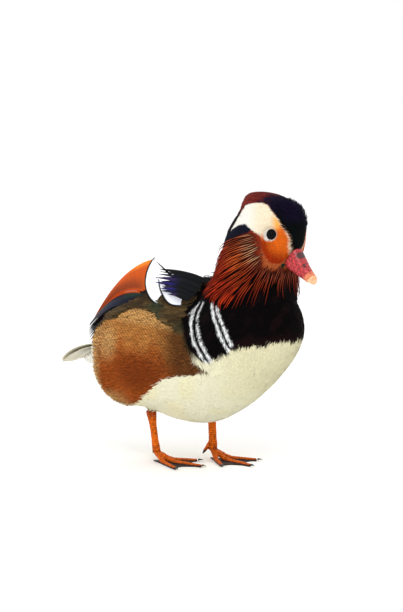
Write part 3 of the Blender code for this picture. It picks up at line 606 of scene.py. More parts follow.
def head_flow(places):
    """Back over the crown from the bill, and out over the ruff in a fan."""
    away = unit(places - BILL_ROOT) * 0.7 + (-1, 0, -0.25)
    fan = unit((places - RUFF_FAN) * (1, 0.35, 1))
    crown = smooth_step(signed_distance(places[:, [0, 2]], CROWN_OUTLINE), -5, 3)
    _, aside = eye_offset(places)
    from_eye = unit(places - beside(places, EYE_SEAT))
    near = 1.2 * fade(aside, 4, 9) * (places[:, 2] > 180)
    return mix(fan, away, crown) + from_eye * near[:, None]


def bar_lie(places):
    """Distance to the nearest white bar, and that bar's direction."""
    flat = places[:, [0, 2]]
    best = np.full(len(flat), 1e9)
    lie = np.zeros_like(places)
    for line in WHITE_BARS:
        points = np.array(line, float)
        for start, end in zip(points, points[1:]):
            gap = segment_distance(flat, start, end)
            edge = unit(end - start)
            lie[gap < best] = (edge[0], 0, edge[1])
            best = np.minimum(best, gap)
    return best, lie


def body_flow(places):
    """Down the breast, along the white bars, and back along the body."""
    x, z = places[:, 0], places[:, 2]
    back = np.zeros_like(places) + (-1, 0, -0.16)
    down = np.zeros_like(places) + (-0.5, 0, -0.9)
    flow = mix(back, down, smooth_step(x + (z - 100) * 0.2, 44, 106))
    gap, lie = bar_lie(places)
    flow = mix(flow, lie, fade(gap, 2.5, 8))
    hang = fade(x, -42, -14) * fade(z, 54, 86)
    flow = mix(flow, np.array((-0.75, 0, -0.65)), hang * 0.8)
    leg = fade(z, 44, 58) * smooth_step(x, -40, -20) * fade(x, 20, 40)
    return mix(flow, np.array((-0.35, 0, -1.0)), leg)


def flow_at(places):
    above = smooth_step(places[:, 2], 148, 162) * smooth_step(places[:, 0], 44, 56)
    return unit(mix(body_flow(places), head_flow(places), above))


# Coat

TUFT_ROWS = np.array((0.0, 0.38, 0.72, 1.0))
TUFT_WIDTHS = np.array((0.55, 1.0, 0.78))
TUFT_TRIANGLES = np.array(((0, 3, 1), (0, 2, 3), (2, 5, 3), (2, 4, 5), (4, 6, 5)))
TUFT_SHARES = np.array((0.0, 0.0, 0.38, 0.38, 0.72, 0.72, 1.0))
TUFT_SIDES = np.array((-0.5, 0.5, -0.5, 0.5, -0.5, 0.5, 0.0))
TUFT_CORNERS = len(TUFT_SIDES)
PATCH = 0.003
SOFTNESS = 0.72
CARRY = 0.75  # how much of a tuft's root marking reaches its tip
CRISP_GAP = 7  # how near a white bar a tuft takes its markings corner by corner

# Each part's roots to the square mm, and its tufts' length, width and lift in mm
COATS = {
    "head": (3.4, 3.4, 0.66, 0.55),
    "neck": (1.3, 8.0, 1.0, 0.8),
    "breast": (1.7, 8.0, 1.0, 1.4),
    "trunk": (1.55, 10.0, 0.85, 1.5),
    "thigh_r": (1.8, 8.0, 0.9, 1.3),
    "thigh_l": (1.8, 8.0, 0.9, 1.3),
    "rump": (1.3, 9.5, 1.0, 1.5),
    "undertail_coverts": (1.3, 13.0, 1.3, 1.4),
    "wing_r": (1.3, 8.0, 1.1, 1.4),
    "wing_l": (1.3, 8.0, 1.1, 1.4),
    "shoulder_r": (1.2, 8.0, 1.2, 1.6),
    "shoulder_l": (1.2, 8.0, 1.2, 1.6),
}


def globe(places, centre, pole):
    """An unwrap of a rounded form: the angle round its pole, and the angle away from it."""
    offset = unit(places - np.array(centre, float))
    axis = np.array(pole, float)
    first = unit(np.cross(axis, (0.0, 0.0, 1.0) if abs(axis[2]) < 0.9 else (1.0, 0.0, 0.0)))
    second = np.cross(axis, first)
    around = np.arctan2(offset @ second, offset @ first)
    down = np.arccos(np.clip(offset @ axis, -1, 1))
    return np.column_stack((around, down))


def spread(flat):
    """Scales an unwrap to fill the middle of the unit square."""
    low, high = flat.min(axis=0), flat.max(axis=0)
    return 0.02 + 0.96 * (flat - low) / np.maximum(high - low, 1e-6)


UPWARD = (0, 0, 1)
FORWARD = (1, 0, 0)
HEAD_MIDDLE = (95, 0, 192)
NECK_MIDDLE = (95, 0, 175)
RUFF_MIDDLE = (95, 0, 165)


def coat_unwrap(part, roots):
    """Each part's unwrap: round its upright or its long axis, or flat for the wings."""
    if part in ("head", "neck"):
        return spread(globe(roots, HEAD_MIDDLE if part == "head" else RUFF_MIDDLE, UPWARD))
    if part.startswith("thigh"):
        return spread(globe(roots, roots.mean(axis=0), UPWARD))
    if part.startswith(("wing", "shoulder")):
        return spread(roots[:, [0, 2]])
    return spread(globe(roots, roots.mean(axis=0), FORWARD))


def tuft_places(surface, roots, normals, flow, length, width, lift, unrest, rng):
    """Seven corners of each tuft, which follows the surface from its root to its tip."""
    middle, middle_normal = surface.nearest(roots + flow * length[:, None] * 0.5)
    end, end_normal = surface.nearest(roots + flow * length[:, None])
    start = roots - normals * 0.3
    middle = middle + middle_normal * (lift * (0.9 + unrest * rng.uniform(-0.2, 0.2, len(lift))))[:, None]
    end = end + end_normal * (lift * (0.8 + unrest * rng.uniform(-0.45, 0.45, len(lift))))[:, None]
    roll = (unrest * rng.normal(0, 0.25, len(roots)))[:, None]
    corners = []
    for row, share in enumerate(TUFT_ROWS):
        line = start * (1 - share) * (1 - 2 * share) + middle * 4 * share * (1 - share)
        line = line + end * share * (2 * share - 1)
        if row == len(TUFT_ROWS) - 1:
            corners.append(line)
            continue
        up = unit(normals * (1 - share) + end_normal * share)
        side = unit(np.cross(up, flow)) + up * roll
        reach = side * (width * TUFT_WIDTHS[row] / 2)[:, None]
        corners += [line - reach, line + reach]
    return np.stack(corners, axis=1)


def turned(flow, normals, angle):
    """Directions turned on the surface by an angle each."""
    across = np.cross(normals, flow)
    return unit(flow * np.cos(angle)[:, None] + across * np.sin(angle)[:, None])


def face_shrink(roots):
    """Smaller tufts near the bill and the eyes."""
    bill = np.linalg.norm(roots - BILL_ROOT, axis=1)
    eye = np.linalg.norm(mirrored(roots) - EYE_SEAT, axis=1)
    return np.minimum(0.5 + 0.5 * smooth_step(bill, 8, 34), 0.35 + 0.65 * smooth_step(eye, 4.6, 14))


def forehead_brush(roots):
    """1 where the crown's front edge stands up in short spikes."""
    front = smooth_step(roots[:, 0], 112, 121) * smooth_step(roots[:, 2], 203, 210)
    return front * fade(np.abs(roots[:, 1]), 10, 14)


def fluff(places):
    """1 where the flank's soft hind edge stands away from the body, 0 elsewhere."""
    x, z = places[:, 0], places[:, 2]
    inside = signed_distance(places[:, [0, 2]], FLANK_OUTLINE)
    hind = fade(x - (100 - z) * 0.35, -48, -22)
    return hind * smooth_step(inside, -4, 0) * smooth_step(np.abs(places[:, 1]), 20, 28)


def hair_shades(colour, fine, rng):
    """Brightness of each tuft: lively on the flank, calm on white, and between on the rest."""
    count = len(colour)
    pale = smooth_step(colour.mean(axis=1), 0.35, 0.7)
    wander = 0.14 * (1 - pale) + 0.02 * pale
    lines = rng.choice((0.62, 0.88, 1.0, 1.3), count)
    shade = 1 + rng.normal(0, 1, count) * wander
    return np.where(rng.uniform(size=count) < fine * 0.8, lines, np.clip(shade, 0.55, 1.5)), pale


def coat_piece(name, part, surface, roots, normals, rng):
    """One mesh of tufts with the bird's markings, and painted shade toward their roots."""
    _, length, width, lift = COATS[part]
    count = len(roots)
    size = np.ones(count)
    brush = np.zeros(count)
    if part == "head":
        size = face_shrink(roots)
        brush = forehead_brush(roots) * (rng.uniform(size=count) < 0.3)
    flow = flatten(flow_at(roots), normals)
    flow = turned(flow, normals, rng.normal(0, 0.13, count))
    lengths = length * size * rng.uniform(0.75, 1.2, count) * (1 + 1.1 * brush)
    widths = width * np.sqrt(size) * rng.uniform(0.8, 1.2, count)
    loose = fluff(roots)
    lifts = lift * (0.4 + 0.6 * size) * (1 + (1.6 * loose + 3.5 * brush) * rng.uniform(0.2, 1.3, count))
    lengths = lengths * (1 + 0.35 * loose)
    flow = turned(flow, normals, rng.normal(0, 0.3, count) * (loose + brush * 0.6))
    key = roots + flow * lengths[:, None] * 0.55
    colour, fine = colour_at(key + rng.normal(0, 0.35, key.shape))
    shade, pale = hair_shades(colour, fine, rng)
    places = tuft_places(surface, roots, normals, flow, lengths, widths, lifts, 1 - 0.7 * pale, rng)
    colour = np.repeat(colour[:, None], TUFT_CORNERS, axis=1)
    fine = np.repeat(fine, TUFT_CORNERS)
    crisp = np.full(count, True) if part == "head" else bar_lie(roots)[0] < CRISP_GAP
    if crisp.any():
        carry = CARRY if part == "head" else 0
        carried = flow[:, None] * (lengths[:, None] * TUFT_SHARES * carry)[..., None]
        corners = (places - carried)[crisp].reshape(-1, 3)
        colour[crisp] = colour_at(corners)[0].reshape(-1, TUFT_CORNERS, 3)
    # painted shade: each tuft darkens toward its root, where the tufts over it shade it, and is a little
    # lighter at its tip; pale tufts less so
    painted_root_shade = (0.7 + 0.26 * pale)[:, None]
    shade = shade[:, None] * (painted_root_shade + (1.04 - painted_root_shade) * TUFT_SHARES)
    colour = np.clip(colour * shade[..., None], 0, 1)
    triangles = (TUFT_TRIANGLES + TUFT_CORNERS * np.arange(count)[:, None, None]).reshape(-1, 3)
    mesh = mesh_of(name, places.reshape(-1, 3), triangles)
    soften(mesh, places, normals)
    paint(mesh, colour.reshape(-1, 3), fine)
    patch = np.column_stack((TUFT_SIDES, TUFT_SHARES - 0.5)) * PATCH
    set_bake_map(mesh, coat_unwrap(part, roots)[:, None] + patch, triangles)
    add_piece(mesh, "feather", (part,))


def soften(mesh, places, normals):
    """Leans each tuft's shading toward the skin's own, so that the coat reads as one soft form."""
    across = places[:, 3] - places[:, 2]
    along = places[:, 6] - places[:, 0]
    own = unit(np.cross(across, along))
    own = own * np.where(np.sum(own * normals, axis=1) < 0, -1, 1)[:, None]
    shading = unit(own * (1 - SOFTNESS) + normals * SOFTNESS)
    shading = np.repeat(shading, TUFT_CORNERS, axis=0).astype(np.float32)
    mesh.normals_split_custom_set_from_vertices(shading)


def set_bake_map(mesh, corners, triangles):
    layer = mesh.uv_layers.new(name="OFBake")
    flat = corners.reshape(-1, 2)
    layer.uv.foreach_set("vector", flat[triangles.ravel()].astype(np.float32).ravel())


def make_coat(surface, labels):
    """Tufts over the whole skin, in one piece for each part, and two for the trunk."""
    part_of_face = labels[surface.firsts]
    densities = np.array([COATS[part][0] for part in FLESH])[part_of_face]
    _, aside = eye_offset(surface.places)
    densities[aside[surface.firsts] < OPENING_RADIUS + 0.1] = 0
    roots, normals, face = surface.scatter(densities, 5)
    for number, part in enumerate(FLESH):
        mine = part_of_face[face] == number
        groups = {part: mine}
        if part == "trunk":
            right = roots[:, 1] < 0
            groups = {"trunk_r": mine & right, "trunk_l": mine & ~right}
        for name, chosen in groups.items():
            rng = np.random.default_rng(100 + number)
            coat_piece(f"coat_{name}", part, surface, roots[chosen], normals[chosen], rng)


# Long feathers

def march(surface, roots, flow, lengths, steps, turn, low, high):
    """Shafts that follow a flow over the surface, rising from low to high above it."""
    here, normals = surface.nearest(roots)
    shafts = [here + normals * low]
    ups = [normals]
    for step in range(1, steps + 1):
        ahead = turned(flatten(flow(here), normals), normals, turn)
        here, normals = surface.nearest(here + ahead * (lengths / steps)[:, None])
        rise = low + (high - low) * (step / steps) ** 0.8
        shafts.append(here + normals * np.reshape(rise, (-1, 1)))
        ups.append(normals)
    return np.stack(shafts, axis=1), np.stack(ups, axis=1)


def vanes(shafts, ups, half_widths, columns, arch):
    """Corners of feathers: rows along each shaft, and columns from one edge to the other."""
    ahead = unit(np.gradient(shafts, axis=1))
    side = unit(np.cross(ahead, ups))
    across = np.array(columns)[None, None, :, None]
    spread_out = side[:, :, None] * across * half_widths[:, :, None, None]
    crown = ups[:, :, None] * (arch * (1 - np.abs(across)))
    return shafts[:, :, None] + spread_out + crown


def grid_triangles(count, rows, columns):
    """Triangles of many grids that are stored one after another."""
    row, column = np.meshgrid(np.arange(rows - 1), np.arange(columns - 1), indexing="ij")
    corner = (row * columns + column).ravel()
    quads = np.stack((corner, corner + 1, corner + columns + 1, corner + columns), axis=1)
    one = np.concatenate((quads[:, [0, 1, 2]], quads[:, [0, 2, 3]]))
    return (one + rows * columns * np.arange(count)[:, None, None]).reshape(-1, 3)


def feather_piece(name, places, colours, unwrap, material, nodes):
    """One mesh of many like feathers; places and colours are (feather, row, column, 3)."""
    count, rows, columns, _ = places.shape
    triangles = grid_triangles(count, rows, columns)
    mesh = mesh_of(name, places.reshape(-1, 3), triangles)
    paint(mesh, np.clip(colours, 0, 1).reshape(-1, 3))
    along, across = np.meshgrid(np.linspace(-0.5, 0.5, rows), np.linspace(-0.5, 0.5, columns), indexing="ij")
    patch = np.stack((across, along), axis=-1) * PATCH
    set_bake_map(mesh, spread(unwrap)[:, None, None] + patch, triangles)
    return add_piece(mesh, material, nodes)


def tapered(rows, point, root=0.5):
    """Half widths along a feather, from a narrow root to its point."""
    share = np.linspace(0, 1, rows)
    return (root + (1 - root) * smooth_step(share, 0, 0.3)) * (1 - share**point) ** 0.75 + 0.02


HACKLE_COLUMNS = (-1.0, -0.46, -0.26, 0.26, 0.46, 1.0)
HACKLE_LIGHT = np.array((0, 0, 1, 1, 0, 0))
HACKLE_ROWS = 11
HACKLE_DENSITY = 1.3
HACKLE_GAPS = (1.08, 9.0)  # across the fan and along it
HACKLE_HALF_WIDTH = 0.74
HACKLE_LENGTHS = (12, 34)
HACKLE_TAPER = 1.9
HACKLE_ARCH = 0.35
HACKLE_ROOT = 0.7  # a hackle's height over the skin at its root
HACKLE_RISE = 2.2  # and at its tip
HACKLE_FLARE = 3  # how much further the tips stand off over the shoulder
THROAT_X = (96, 104)
THROAT_Z = (180, 190)


def spaced(roots, flow, gaps, rng):
    """Numbers of the roots that are kept so that none crowds another."""
    kept = []
    for number in rng.permutation(len(roots)):
        offset = roots[kept] - roots[number]
        ahead = offset @ flow[number]
        aside = np.linalg.norm(offset - ahead[:, None] * flow[number], axis=1)
        if np.all(np.hypot(aside / gaps[0], ahead / gaps[1]) > 1):
            kept.append(number)
    return kept


def hackle_roots(surface, labels, rng):
    """Spaced roots over the cheek and the neck, clear of the face, crown and nape."""
    part_of_face = labels[surface.firsts]
    spots = surface.spots
    ruff = (part_of_face == FLESH.index("head")) | (part_of_face == FLESH.index("neck"))
    for outline, gap in ((FACE_OUTLINE, 1), (CROWN_OUTLINE, 1.5), (NAPE_OUTLINE, 1)):
        ruff &= signed_distance(spots[:, [0, 2]], outline) < -gap
    ruff &= spots[:, 2] > level(spots[:, 0], RUFF_TIPS) + 10
    ruff &= (spots[:, 0] < 110) | (spots[:, 2] < 178)
    roots, normals, _ = surface.scatter(ruff * HACKLE_DENSITY, 8)
    return roots[spaced(roots, flatten(flow_at(roots), normals), HACKLE_GAPS, rng)]


def hackle_lengths(roots, fan, throat, rng):
    """Longer away from the fan's middle, but hardly past the ruff's tips."""
    count = len(roots)
    room = roots[:, 2] - level(roots[:, 0], RUFF_TIPS)
    lengths = np.clip(17 + (fan - 30) * 0.5, *HACKLE_LENGTHS) * rng.uniform(0.85, 1.15, count)
    lengths = np.minimum(lengths, np.maximum(room * 1.25, 8) * rng.uniform(0.75, 1.15, count))
    lengths = np.minimum(lengths, np.maximum(roots[:, 0] - 55, 4) * 1.5)
    return lengths * (1 + throat * rng.uniform(-0.35, 0.8, count))


def hackle_colours(roots, fan, throat, lengths, rng):
    """Shafts that run from cream to red, between dark edges."""
    share = np.linspace(0, 1, HACKLE_ROWS)[None, :] * np.ones((len(roots), 1))
    reach = fan[:, None] + share * lengths[:, None]
    shaft = mix(SHAFT_CREAM, SHAFT_ORANGE, smooth_step(reach, 50, 66))
    shaft = mix(shaft, SHAFT_RED, smooth_step(reach, 66, 86))
    high = smooth_step(roots[:, 2], 186, 200)[:, None] * np.ones_like(share)
    shaft = mix(shaft, RUFF_CHESTNUT, high * 0.7)
    shaft = mix(shaft, SHAFT_RED * 0.42, throat[:, None] * 0.9 * np.ones_like(share))
    edge = mix(RUFF_CHESTNUT, RUFF_DARK, smooth_step(reach, 26, 44))
    edge = mix(edge, RUFF_BLACK, smooth_step(reach, 46, 62) * (1 - high * 0.6))
    bright = rng.uniform(0.5, 1.0, len(roots))[:, None] * smooth_step(share, 0.0, 0.18)
    light = HACKLE_LIGHT[None, None, :] * bright[..., None]
    return edge[:, :, None] + (shaft - edge)[:, :, None] * light[..., None]


def make_hackles(surface, labels):
    """The long loose feathers that fan back from the cheek, each with a pale shaft."""
    rng = np.random.default_rng(9)
    roots = hackle_roots(surface, labels, rng)
    count = len(roots)
    throat = smooth_step(roots[:, 0], *THROAT_X) * fade(roots[:, 2], *THROAT_Z)
    fan = np.linalg.norm(roots - RUFF_FAN, axis=1)
    lengths = hackle_lengths(roots, fan, throat, rng)
    rise = HACKLE_RISE + rng.uniform(0, 1.4, count)
    flare = HACKLE_FLARE * smooth_step(76 - roots[:, 0], 0, 12) * smooth_step(176 - roots[:, 2], 0, 8)
    rise = rise + flare * rng.uniform(0, 1, count)
    turn = rng.normal(0, 0.03, count)
    shafts, ups = march(surface, roots, flow_at, lengths, HACKLE_ROWS - 1, turn, HACKLE_ROOT, rise)
    widths = HACKLE_HALF_WIDTH * tapered(HACKLE_ROWS, HACKLE_TAPER) * rng.uniform(0.8, 1.15, count)[:, None]
    places = vanes(shafts, ups, widths, HACKLE_COLUMNS, HACKLE_ARCH)
    colours = hackle_colours(roots, fan, throat, lengths, rng)
    unwrap = globe(roots, NECK_MIDDLE, UPWARD)
    feather_piece("ruff_hackles", places, colours, unwrap, "feather", ("neck",))


CREST_ROWS = 8
CREST_COLUMNS = (-1, 0, 1)
CREST_DENSITY = 0.22
CREST_LENGTHS = (15, 24)
CREST_HALF_WIDTH = 0.95


def make_crest(surface):
    """Narrow dark feathers along the crest's back edge."""
    x, y, z = surface.spots.T
    chosen = (x < 92) & (np.abs(y) < 13) & (z > 196) & (x > 60)
    chosen &= signed_distance(surface.spots[:, [0, 2]], CROWN_OUTLINE) > 0.5
    roots, _, _ = surface.scatter(chosen * CREST_DENSITY, 12)
    rng = np.random.default_rng(13)
    count = len(roots)
    lengths = rng.uniform(*CREST_LENGTHS, count)
    turn = rng.normal(0, 0.08, count)
    shafts, ups = march(surface, roots, flow_at, lengths, CREST_ROWS - 1, turn, 0.5, 2.0)
    widths = CREST_HALF_WIDTH * tapered(CREST_ROWS, 2.2) * rng.uniform(0.8, 1.2, count)[:, None]
    corners = vanes(shafts, ups, widths, CREST_COLUMNS, 0.25)
    colours, _ = colour_at((shafts + ups).reshape(-1, 3))
    colours = colours.reshape(count, CREST_ROWS, 1, 3) * np.ones((1, 1, len(CREST_COLUMNS), 1))
    colours = np.minimum(colours, (CROWN_RED * 1.1)[None, None, None])
    unwrap = globe(roots, HEAD_MIDDLE, UPWARD)
    feather_piece("crest_plumes", corners, colours, unwrap, "feather", ("head",))


COVERT_ROWS = 6
COVERT_LENGTH = 11
COVERT_HALF_WIDTH = 2.5
COVERT_DENSITY = 0.12
COVERT_RISES = {"shoulder": 3.6, "wing": 2.2}  # the tips' height over the skin
COVERT_COLUMNS = (-1.0, -0.55, -0.08, 0.08, 0.55, 1.0)
COVERT_SHADES = np.array((1.25, 1.0, 0.7, 0.7, 1.0, 1.25))


def make_coverts(surface, labels):
    """Broad rounded feathers in overlapping rows over the wings and shoulders."""
    part_of_face = labels[surface.firsts]
    spots = surface.spots
    for number, part in enumerate(FLESH):
        if not part.startswith(("wing", "shoulder")):
            continue
        inside = signed_distance(spots[:, [0, 2]], FLANK_OUTLINE) > -1.5
        behind = signed_distance(spots[:, [0, 2]] - (COVERT_LENGTH, 0.5), FLANK_OUTLINE) > -1
        density = (part_of_face == number) & ~inside & ~(behind & (spots[:, 2] < 140))
        density &= bar_lie(spots)[0] > 4
        density &= bar_lie(spots - (COVERT_LENGTH * 0.7, 0, 1.5))[0] > 3
        roots, _, _ = surface.scatter(density * COVERT_DENSITY, 20 + number)
        rng = np.random.default_rng(30 + number)
        count = len(roots)
        lengths = COVERT_LENGTH * rng.uniform(0.8, 1.15, count)
        rise = COVERT_RISES[part.split("_")[0]]
        turn = rng.normal(0, 0.06, count)
        shafts, ups = march(surface, roots, flow_at, lengths, COVERT_ROWS - 1, turn, 0.6, rise)
        widths = COVERT_HALF_WIDTH * tapered(COVERT_ROWS, 4.0, 0.6) * rng.uniform(0.85, 1.15, count)[:, None]
        corners = vanes(shafts, ups, widths, COVERT_COLUMNS, 0.5)
        tone = back_colour(roots) * rng.uniform(0.75, 1.3, count)[:, None]
        colours = np.repeat(tone[:, None, None], COVERT_ROWS, axis=1) * COVERT_SHADES[:, None]
        name = f"coverts_{part}"
        feather_piece(name, corners, colours, roots[:, [0, 2]], "vane", (part,))


def formula_feather(name, centre_line, ups, half_widths, columns, arch, colour, material, nodes):
    """One or more feathers whose shafts are worked out rather than laid on the surface."""
    count, rows, _ = centre_line.shape
    across = len(columns)
    ups = ups * np.ones_like(centre_line)
    corners = vanes(centre_line, ups, half_widths * np.ones((count, 1)), columns, arch)
    share = np.linspace(0, 1, rows)[None, :, None] * np.ones((count, 1, across))
    sides = np.array(columns)[None, None, :] * np.ones((count, rows, 1))
    which = np.arange(count)[:, None, None] * np.ones((1, rows, across))
    unwrap = centre_line[:, 0][:, [0, 2]] + np.arange(count)[:, None] * 0.01
    feather_piece(name, corners, colour(share, sides, which), unwrap, material, nodes)


SCAPULARS = 11
SCAPULAR_ROWS = 12
SCAPULAR_COLUMNS = (-1.0, -0.5, -0.06, 0.06, 0.5, 1.0)
# The first and the last of the row of shoulder feathers: root and tip on the left side
SCAPULAR_ROOTS = (np.array((50.0, 18.0, 156.0)), np.array((46.0, 39.0, 143.0)))
SCAPULAR_TIPS = (np.array((-3.0, 28.0, 163.5)), np.array((15.0, 37.5, 145.0)))
SCAPULAR_BOW = 3.5
SCAPULAR_LIFT = 4.2
SCAPULAR_HALF_WIDTH = 2.5
SCAPULAR_DROPS = {"r": 0, "l": 9}  # the left ones lie lower, over the folded sail


def make_scapulars():
    """Long pointed blue-purple shoulder feathers that lie back over the wing."""
    share = np.linspace(0, 1, SCAPULARS)[:, None]
    along = np.linspace(0, 1, SCAPULAR_ROWS)
    for letter, side in SIDES.items():
        rng = np.random.default_rng(50)
        roots = SCAPULAR_ROOTS[0] * (1 - share) + SCAPULAR_ROOTS[1] * share
        tips = SCAPULAR_TIPS[0] * (1 - share) + SCAPULAR_TIPS[1] * share
        tips = tips + rng.uniform(-1, 1, (SCAPULARS, 1)) * (6, 0, 0) - (0, 0, SCAPULAR_DROPS[letter])
        roots, tips = roots * (1, side, 1), tips * (1, side, 1)
        line = roots[:, None] + (tips - roots)[:, None] * along[None, :, None]
        outward = unit(np.array((0, side * 0.72, 0.7)))
        bow = np.sin(math.pi * along)[None, :, None] * SCAPULAR_BOW
        line = line + outward * (bow + SCAPULAR_LIFT + rng.uniform(-0.8, 1.0, (SCAPULARS, 1, 1)))
        widths = SCAPULAR_HALF_WIDTH * tapered(SCAPULAR_ROWS, 1.7) * rng.uniform(0.75, 1.15, (SCAPULARS, 1))
        formula_feather(f"scapulars_{letter}", line, outward, widths, SCAPULAR_COLUMNS, 0.6, scapular_colour,
                        "gloss", (f"shoulder_{letter}",))


def scapular_colour(along, across, which):
    """Dark at the root and along the edges; toward the tip of a few feathers blue to purple, their
    iridescence painted in as sheen.
    """
    blue = mix(SCAPULAR_BLUE, SCAPULAR_PURPLE, smooth_step(np.sin(which * 2.1), -0.2, 0.9))
    uneven = 0.35 + 0.65 * smooth_step(np.sin(which * 3.3), -0.6, 0.4)
    # painted sheen: blue-purple on a few feathers, where their iridescence catches the light
    painted_sheen = smooth_step(along, 0.4, 0.6) * smooth_step(which, 1.5, 3.5) * uneven
    colour = mix(BACK_DARK, blue, painted_sheen)
    edge = smooth_step(np.abs(across), 0.35, 0.9)
    return mix(colour, FEATHER_BLACK, np.clip(edge + smooth_step(along, 0.9, 1.0), 0, 1))


def quadratic(first, middle, last, share):
    """A smooth path through three places, the middle one at 0.55 of the way."""
    at = 0.55
    a = (share - at) * (share - 1) / at
    b = share * (share - 1) / (at * (at - 1))
    c = share * (share - at) / (1 - at)
    return a[:, None] * first + b[:, None] * middle + c[:, None] * last


SAIL_COLUMNS = 46
SAIL_ROWS = 17
SAIL_FALL = 1.3  # how quickly the sail's height falls away toward its tip
OUTER_VANE = 14.5
OUTER_ROWS = 30
OUTER_COLUMNS = 6
OUTER_DOWN = (-0.10, 0.62, -0.78)  # the way it lies down from the shaft, on the left


def sail_corners(letter):
    """The sail's standing vane: columns from its front edge to its tip, rows up from the shaft."""
    side, lean, bend = SIDES[letter], SAIL_LEAN[letter], SAIL_BEND[letter]
    share = np.linspace(0, 1, SAIL_COLUMNS)
    shaft = quadratic(SAIL_FRONT, SAIL_MIDDLE, SAIL_TIP, share)
    height = np.maximum(SAIL_HEIGHT * (1 - share) ** SAIL_FALL, 0.6)
    up = np.linspace(0, 1, SAIL_ROWS)
    last = lean + bend * up[None, :]
    out = (math.cos(lean) - np.cos(last)) / bend * height[:, None]
    rise = (np.sin(last) - math.sin(lean)) / bend * height[:, None]
    x = shaft[:, None, 0] + SAIL_FORWARD * (up[None, :] - 0.15) * (1 - share[:, None]) ** 2
    round_front = 2.2 * np.maximum(0, up[None, :] - 0.72) ** 2 / 0.08 * (1 - share[:, None]) ** 6
    curl = 1.6 * np.sin(math.pi * up[None, :]) * np.sin(math.pi * share[:, None] ** 0.8)
    y = side * (shaft[:, None, 1] + out + curl * math.cos(lean))
    z = shaft[:, None, 2] + rise
    return np.stack((x - round_front, y, z), axis=-1), share, up


def sail_colour(share, up):
    """Orange, browner low and to the rear, with a bright shaft, gold front corner and dark rear edge."""
    t, s = np.meshgrid(share, up, indexing="ij")
    colour = mix(SAIL_BROWN, SAIL_ORANGE, smooth_step(s + 0.9 * (0.32 - t), 0.25, 0.8))
    colour = mix(colour, SAIL_ORANGE, fade(t, 0.0, 0.16))
    colour = mix(colour, SAIL_GOLD, smooth_step(s, 0.8, 0.98) * fade(t, 0.2, 0.42))
    colour = mix(colour, SAIL_BRIGHT, fade(s, 0.02, 0.16))
    edge = smooth_step(s, 0.93, 0.99) * smooth_step(t, 0.42, 0.62)
    return mix(colour, FLANK_DEEP * 0.5, edge)


def make_sails():
    """Both sails, the right one raised and the left one curled down over the wing."""
    for letter in SIDES:
        corners, share, up = sail_corners(letter)
        piece = sail_piece(f"sail_vane_{letter}", corners, sail_colour(share, up), "sail", letter)
        shell = piece.modifiers.new("thickness", "SOLIDIFY")
        shell.thickness = SAIL_THICKNESS * MM
        shell.offset = 0
        wide_unwrap(piece, share, up)
        make_outer_vane(letter)


def sail_piece(name, corners, colours, material, letter):
    """One big feather as a piece that stands for the sail."""
    unwrap = np.zeros((1, 2))
    nodes = (f"sail_{letter}",)
    return feather_piece(name, corners[None], colours[None], unwrap, material, nodes)


def wide_unwrap(piece, share, up):
    """Gives one big feather the whole of its map."""
    across, along = np.meshgrid(up, share)
    flat = np.stack((0.05 + 0.9 * along, 0.05 + 0.9 * across), axis=-1)
    rows, columns = flat.shape[:2]
    triangles = grid_triangles(1, rows, columns)
    layer = piece.data.uv_layers["OFBake"]
    layer.uv.foreach_set("vector", flat.reshape(-1, 2)[triangles.ravel()].astype(np.float32).ravel())


def outer_vane_colour(share, out):
    """Green by the front of the shaft, then navy, and black at the rear, with a bright shaft and a faint
    painted blue sheen in the middle.
    """
    t, s = np.meshgrid(share, out, indexing="ij")
    navy = np.clip(smooth_step(t, 0.2, 0.45) + smooth_step(s, 0.35, 0.7), 0, 1)
    colour = mix(SAIL_TEAL, SAIL_NAVY * 0.6, navy)
    colour = mix(colour, FEATHER_BLACK, smooth_step(t, 0.6, 0.95))
    # painted sheen: a faint blue in the middle of the vane
    painted_sheen = smooth_step(s, 0.3, 0.6) * smooth_step(t, 0.32, 0.45) * fade(t, 0.6, 0.8)
    colour = mix(colour, QUILL_BLUE, painted_sheen * 0.2)
    colour = mix(colour, SAIL_BRIGHT, fade(s, 0.02, 0.16))
    return mix(colour, QUILL_EDGE, smooth_step(s, 0.9, 1.0) * smooth_step(t, 0.7, 0.8) * 0.7)


def make_outer_vane(letter):
    """The sail's narrow glossy outer vane, which lies down from the shaft over the wing."""
    side = SIDES[letter]
    share = np.linspace(0, 1, OUTER_ROWS)
    out = np.linspace(0, 1, OUTER_COLUMNS)
    shaft = quadratic(SAIL_FRONT, SAIL_MIDDLE, SAIL_TIP, share) * (1, side, 1)
    width = OUTER_VANE * (0.4 + 0.6 * smooth_step(share, 0, 0.35)) * (1 - share**12)
    down = unit(np.array(OUTER_DOWN) * (1, side, 1))
    corners = shaft[:, None] + down * out[None, :, None] * width[:, None, None]
    corners[:, :, 1] += side * 1.2 * np.sin(math.pi * out)[None, :] + side * 0.8
    colours = outer_vane_colour(share, out)
    piece = sail_piece(f"sail_outer_vane_{letter}", corners, colours, "gloss", letter)
    wide_unwrap(piece, share, out)


PLUME_ROWS = 18
PLUME_COLUMNS = (-1.0, -0.86, -0.76, -0.66, -0.4, 0.0, 0.5, 1.0)
# Each plume's root, middle and tip, and its half width, on the left side
PLUMES = {
    "r": (((21, 34, 141), (-3, 34, 153), (-2.5, 31.5, 176), 8.5),
          ((33, 37, 142), (17, 36, 146.5), (4, 33, 158), 5.2),
          ((22, 28, 158), (10, 28, 164), (-2, 29, 172), 0.9)),
    "l": (((18, 33, 143), (-2, 40, 147), (-24, 45, 146), 8.0),
          ((30, 36, 141), (14, 41, 143), (-6, 46, 141), 6.0),
          ((16, 30, 148), (-2, 36, 150), (-18, 40, 150), 0.9)),
}
PLUME_FACE = {"r": (0.15, -1.0, 0.25), "l": (0.1, 0.55, 0.8)}
PLUME_LIFT = 2.4
PLUME_BORDER = 1.3
SPUR = 2  # the number of the thin black plume


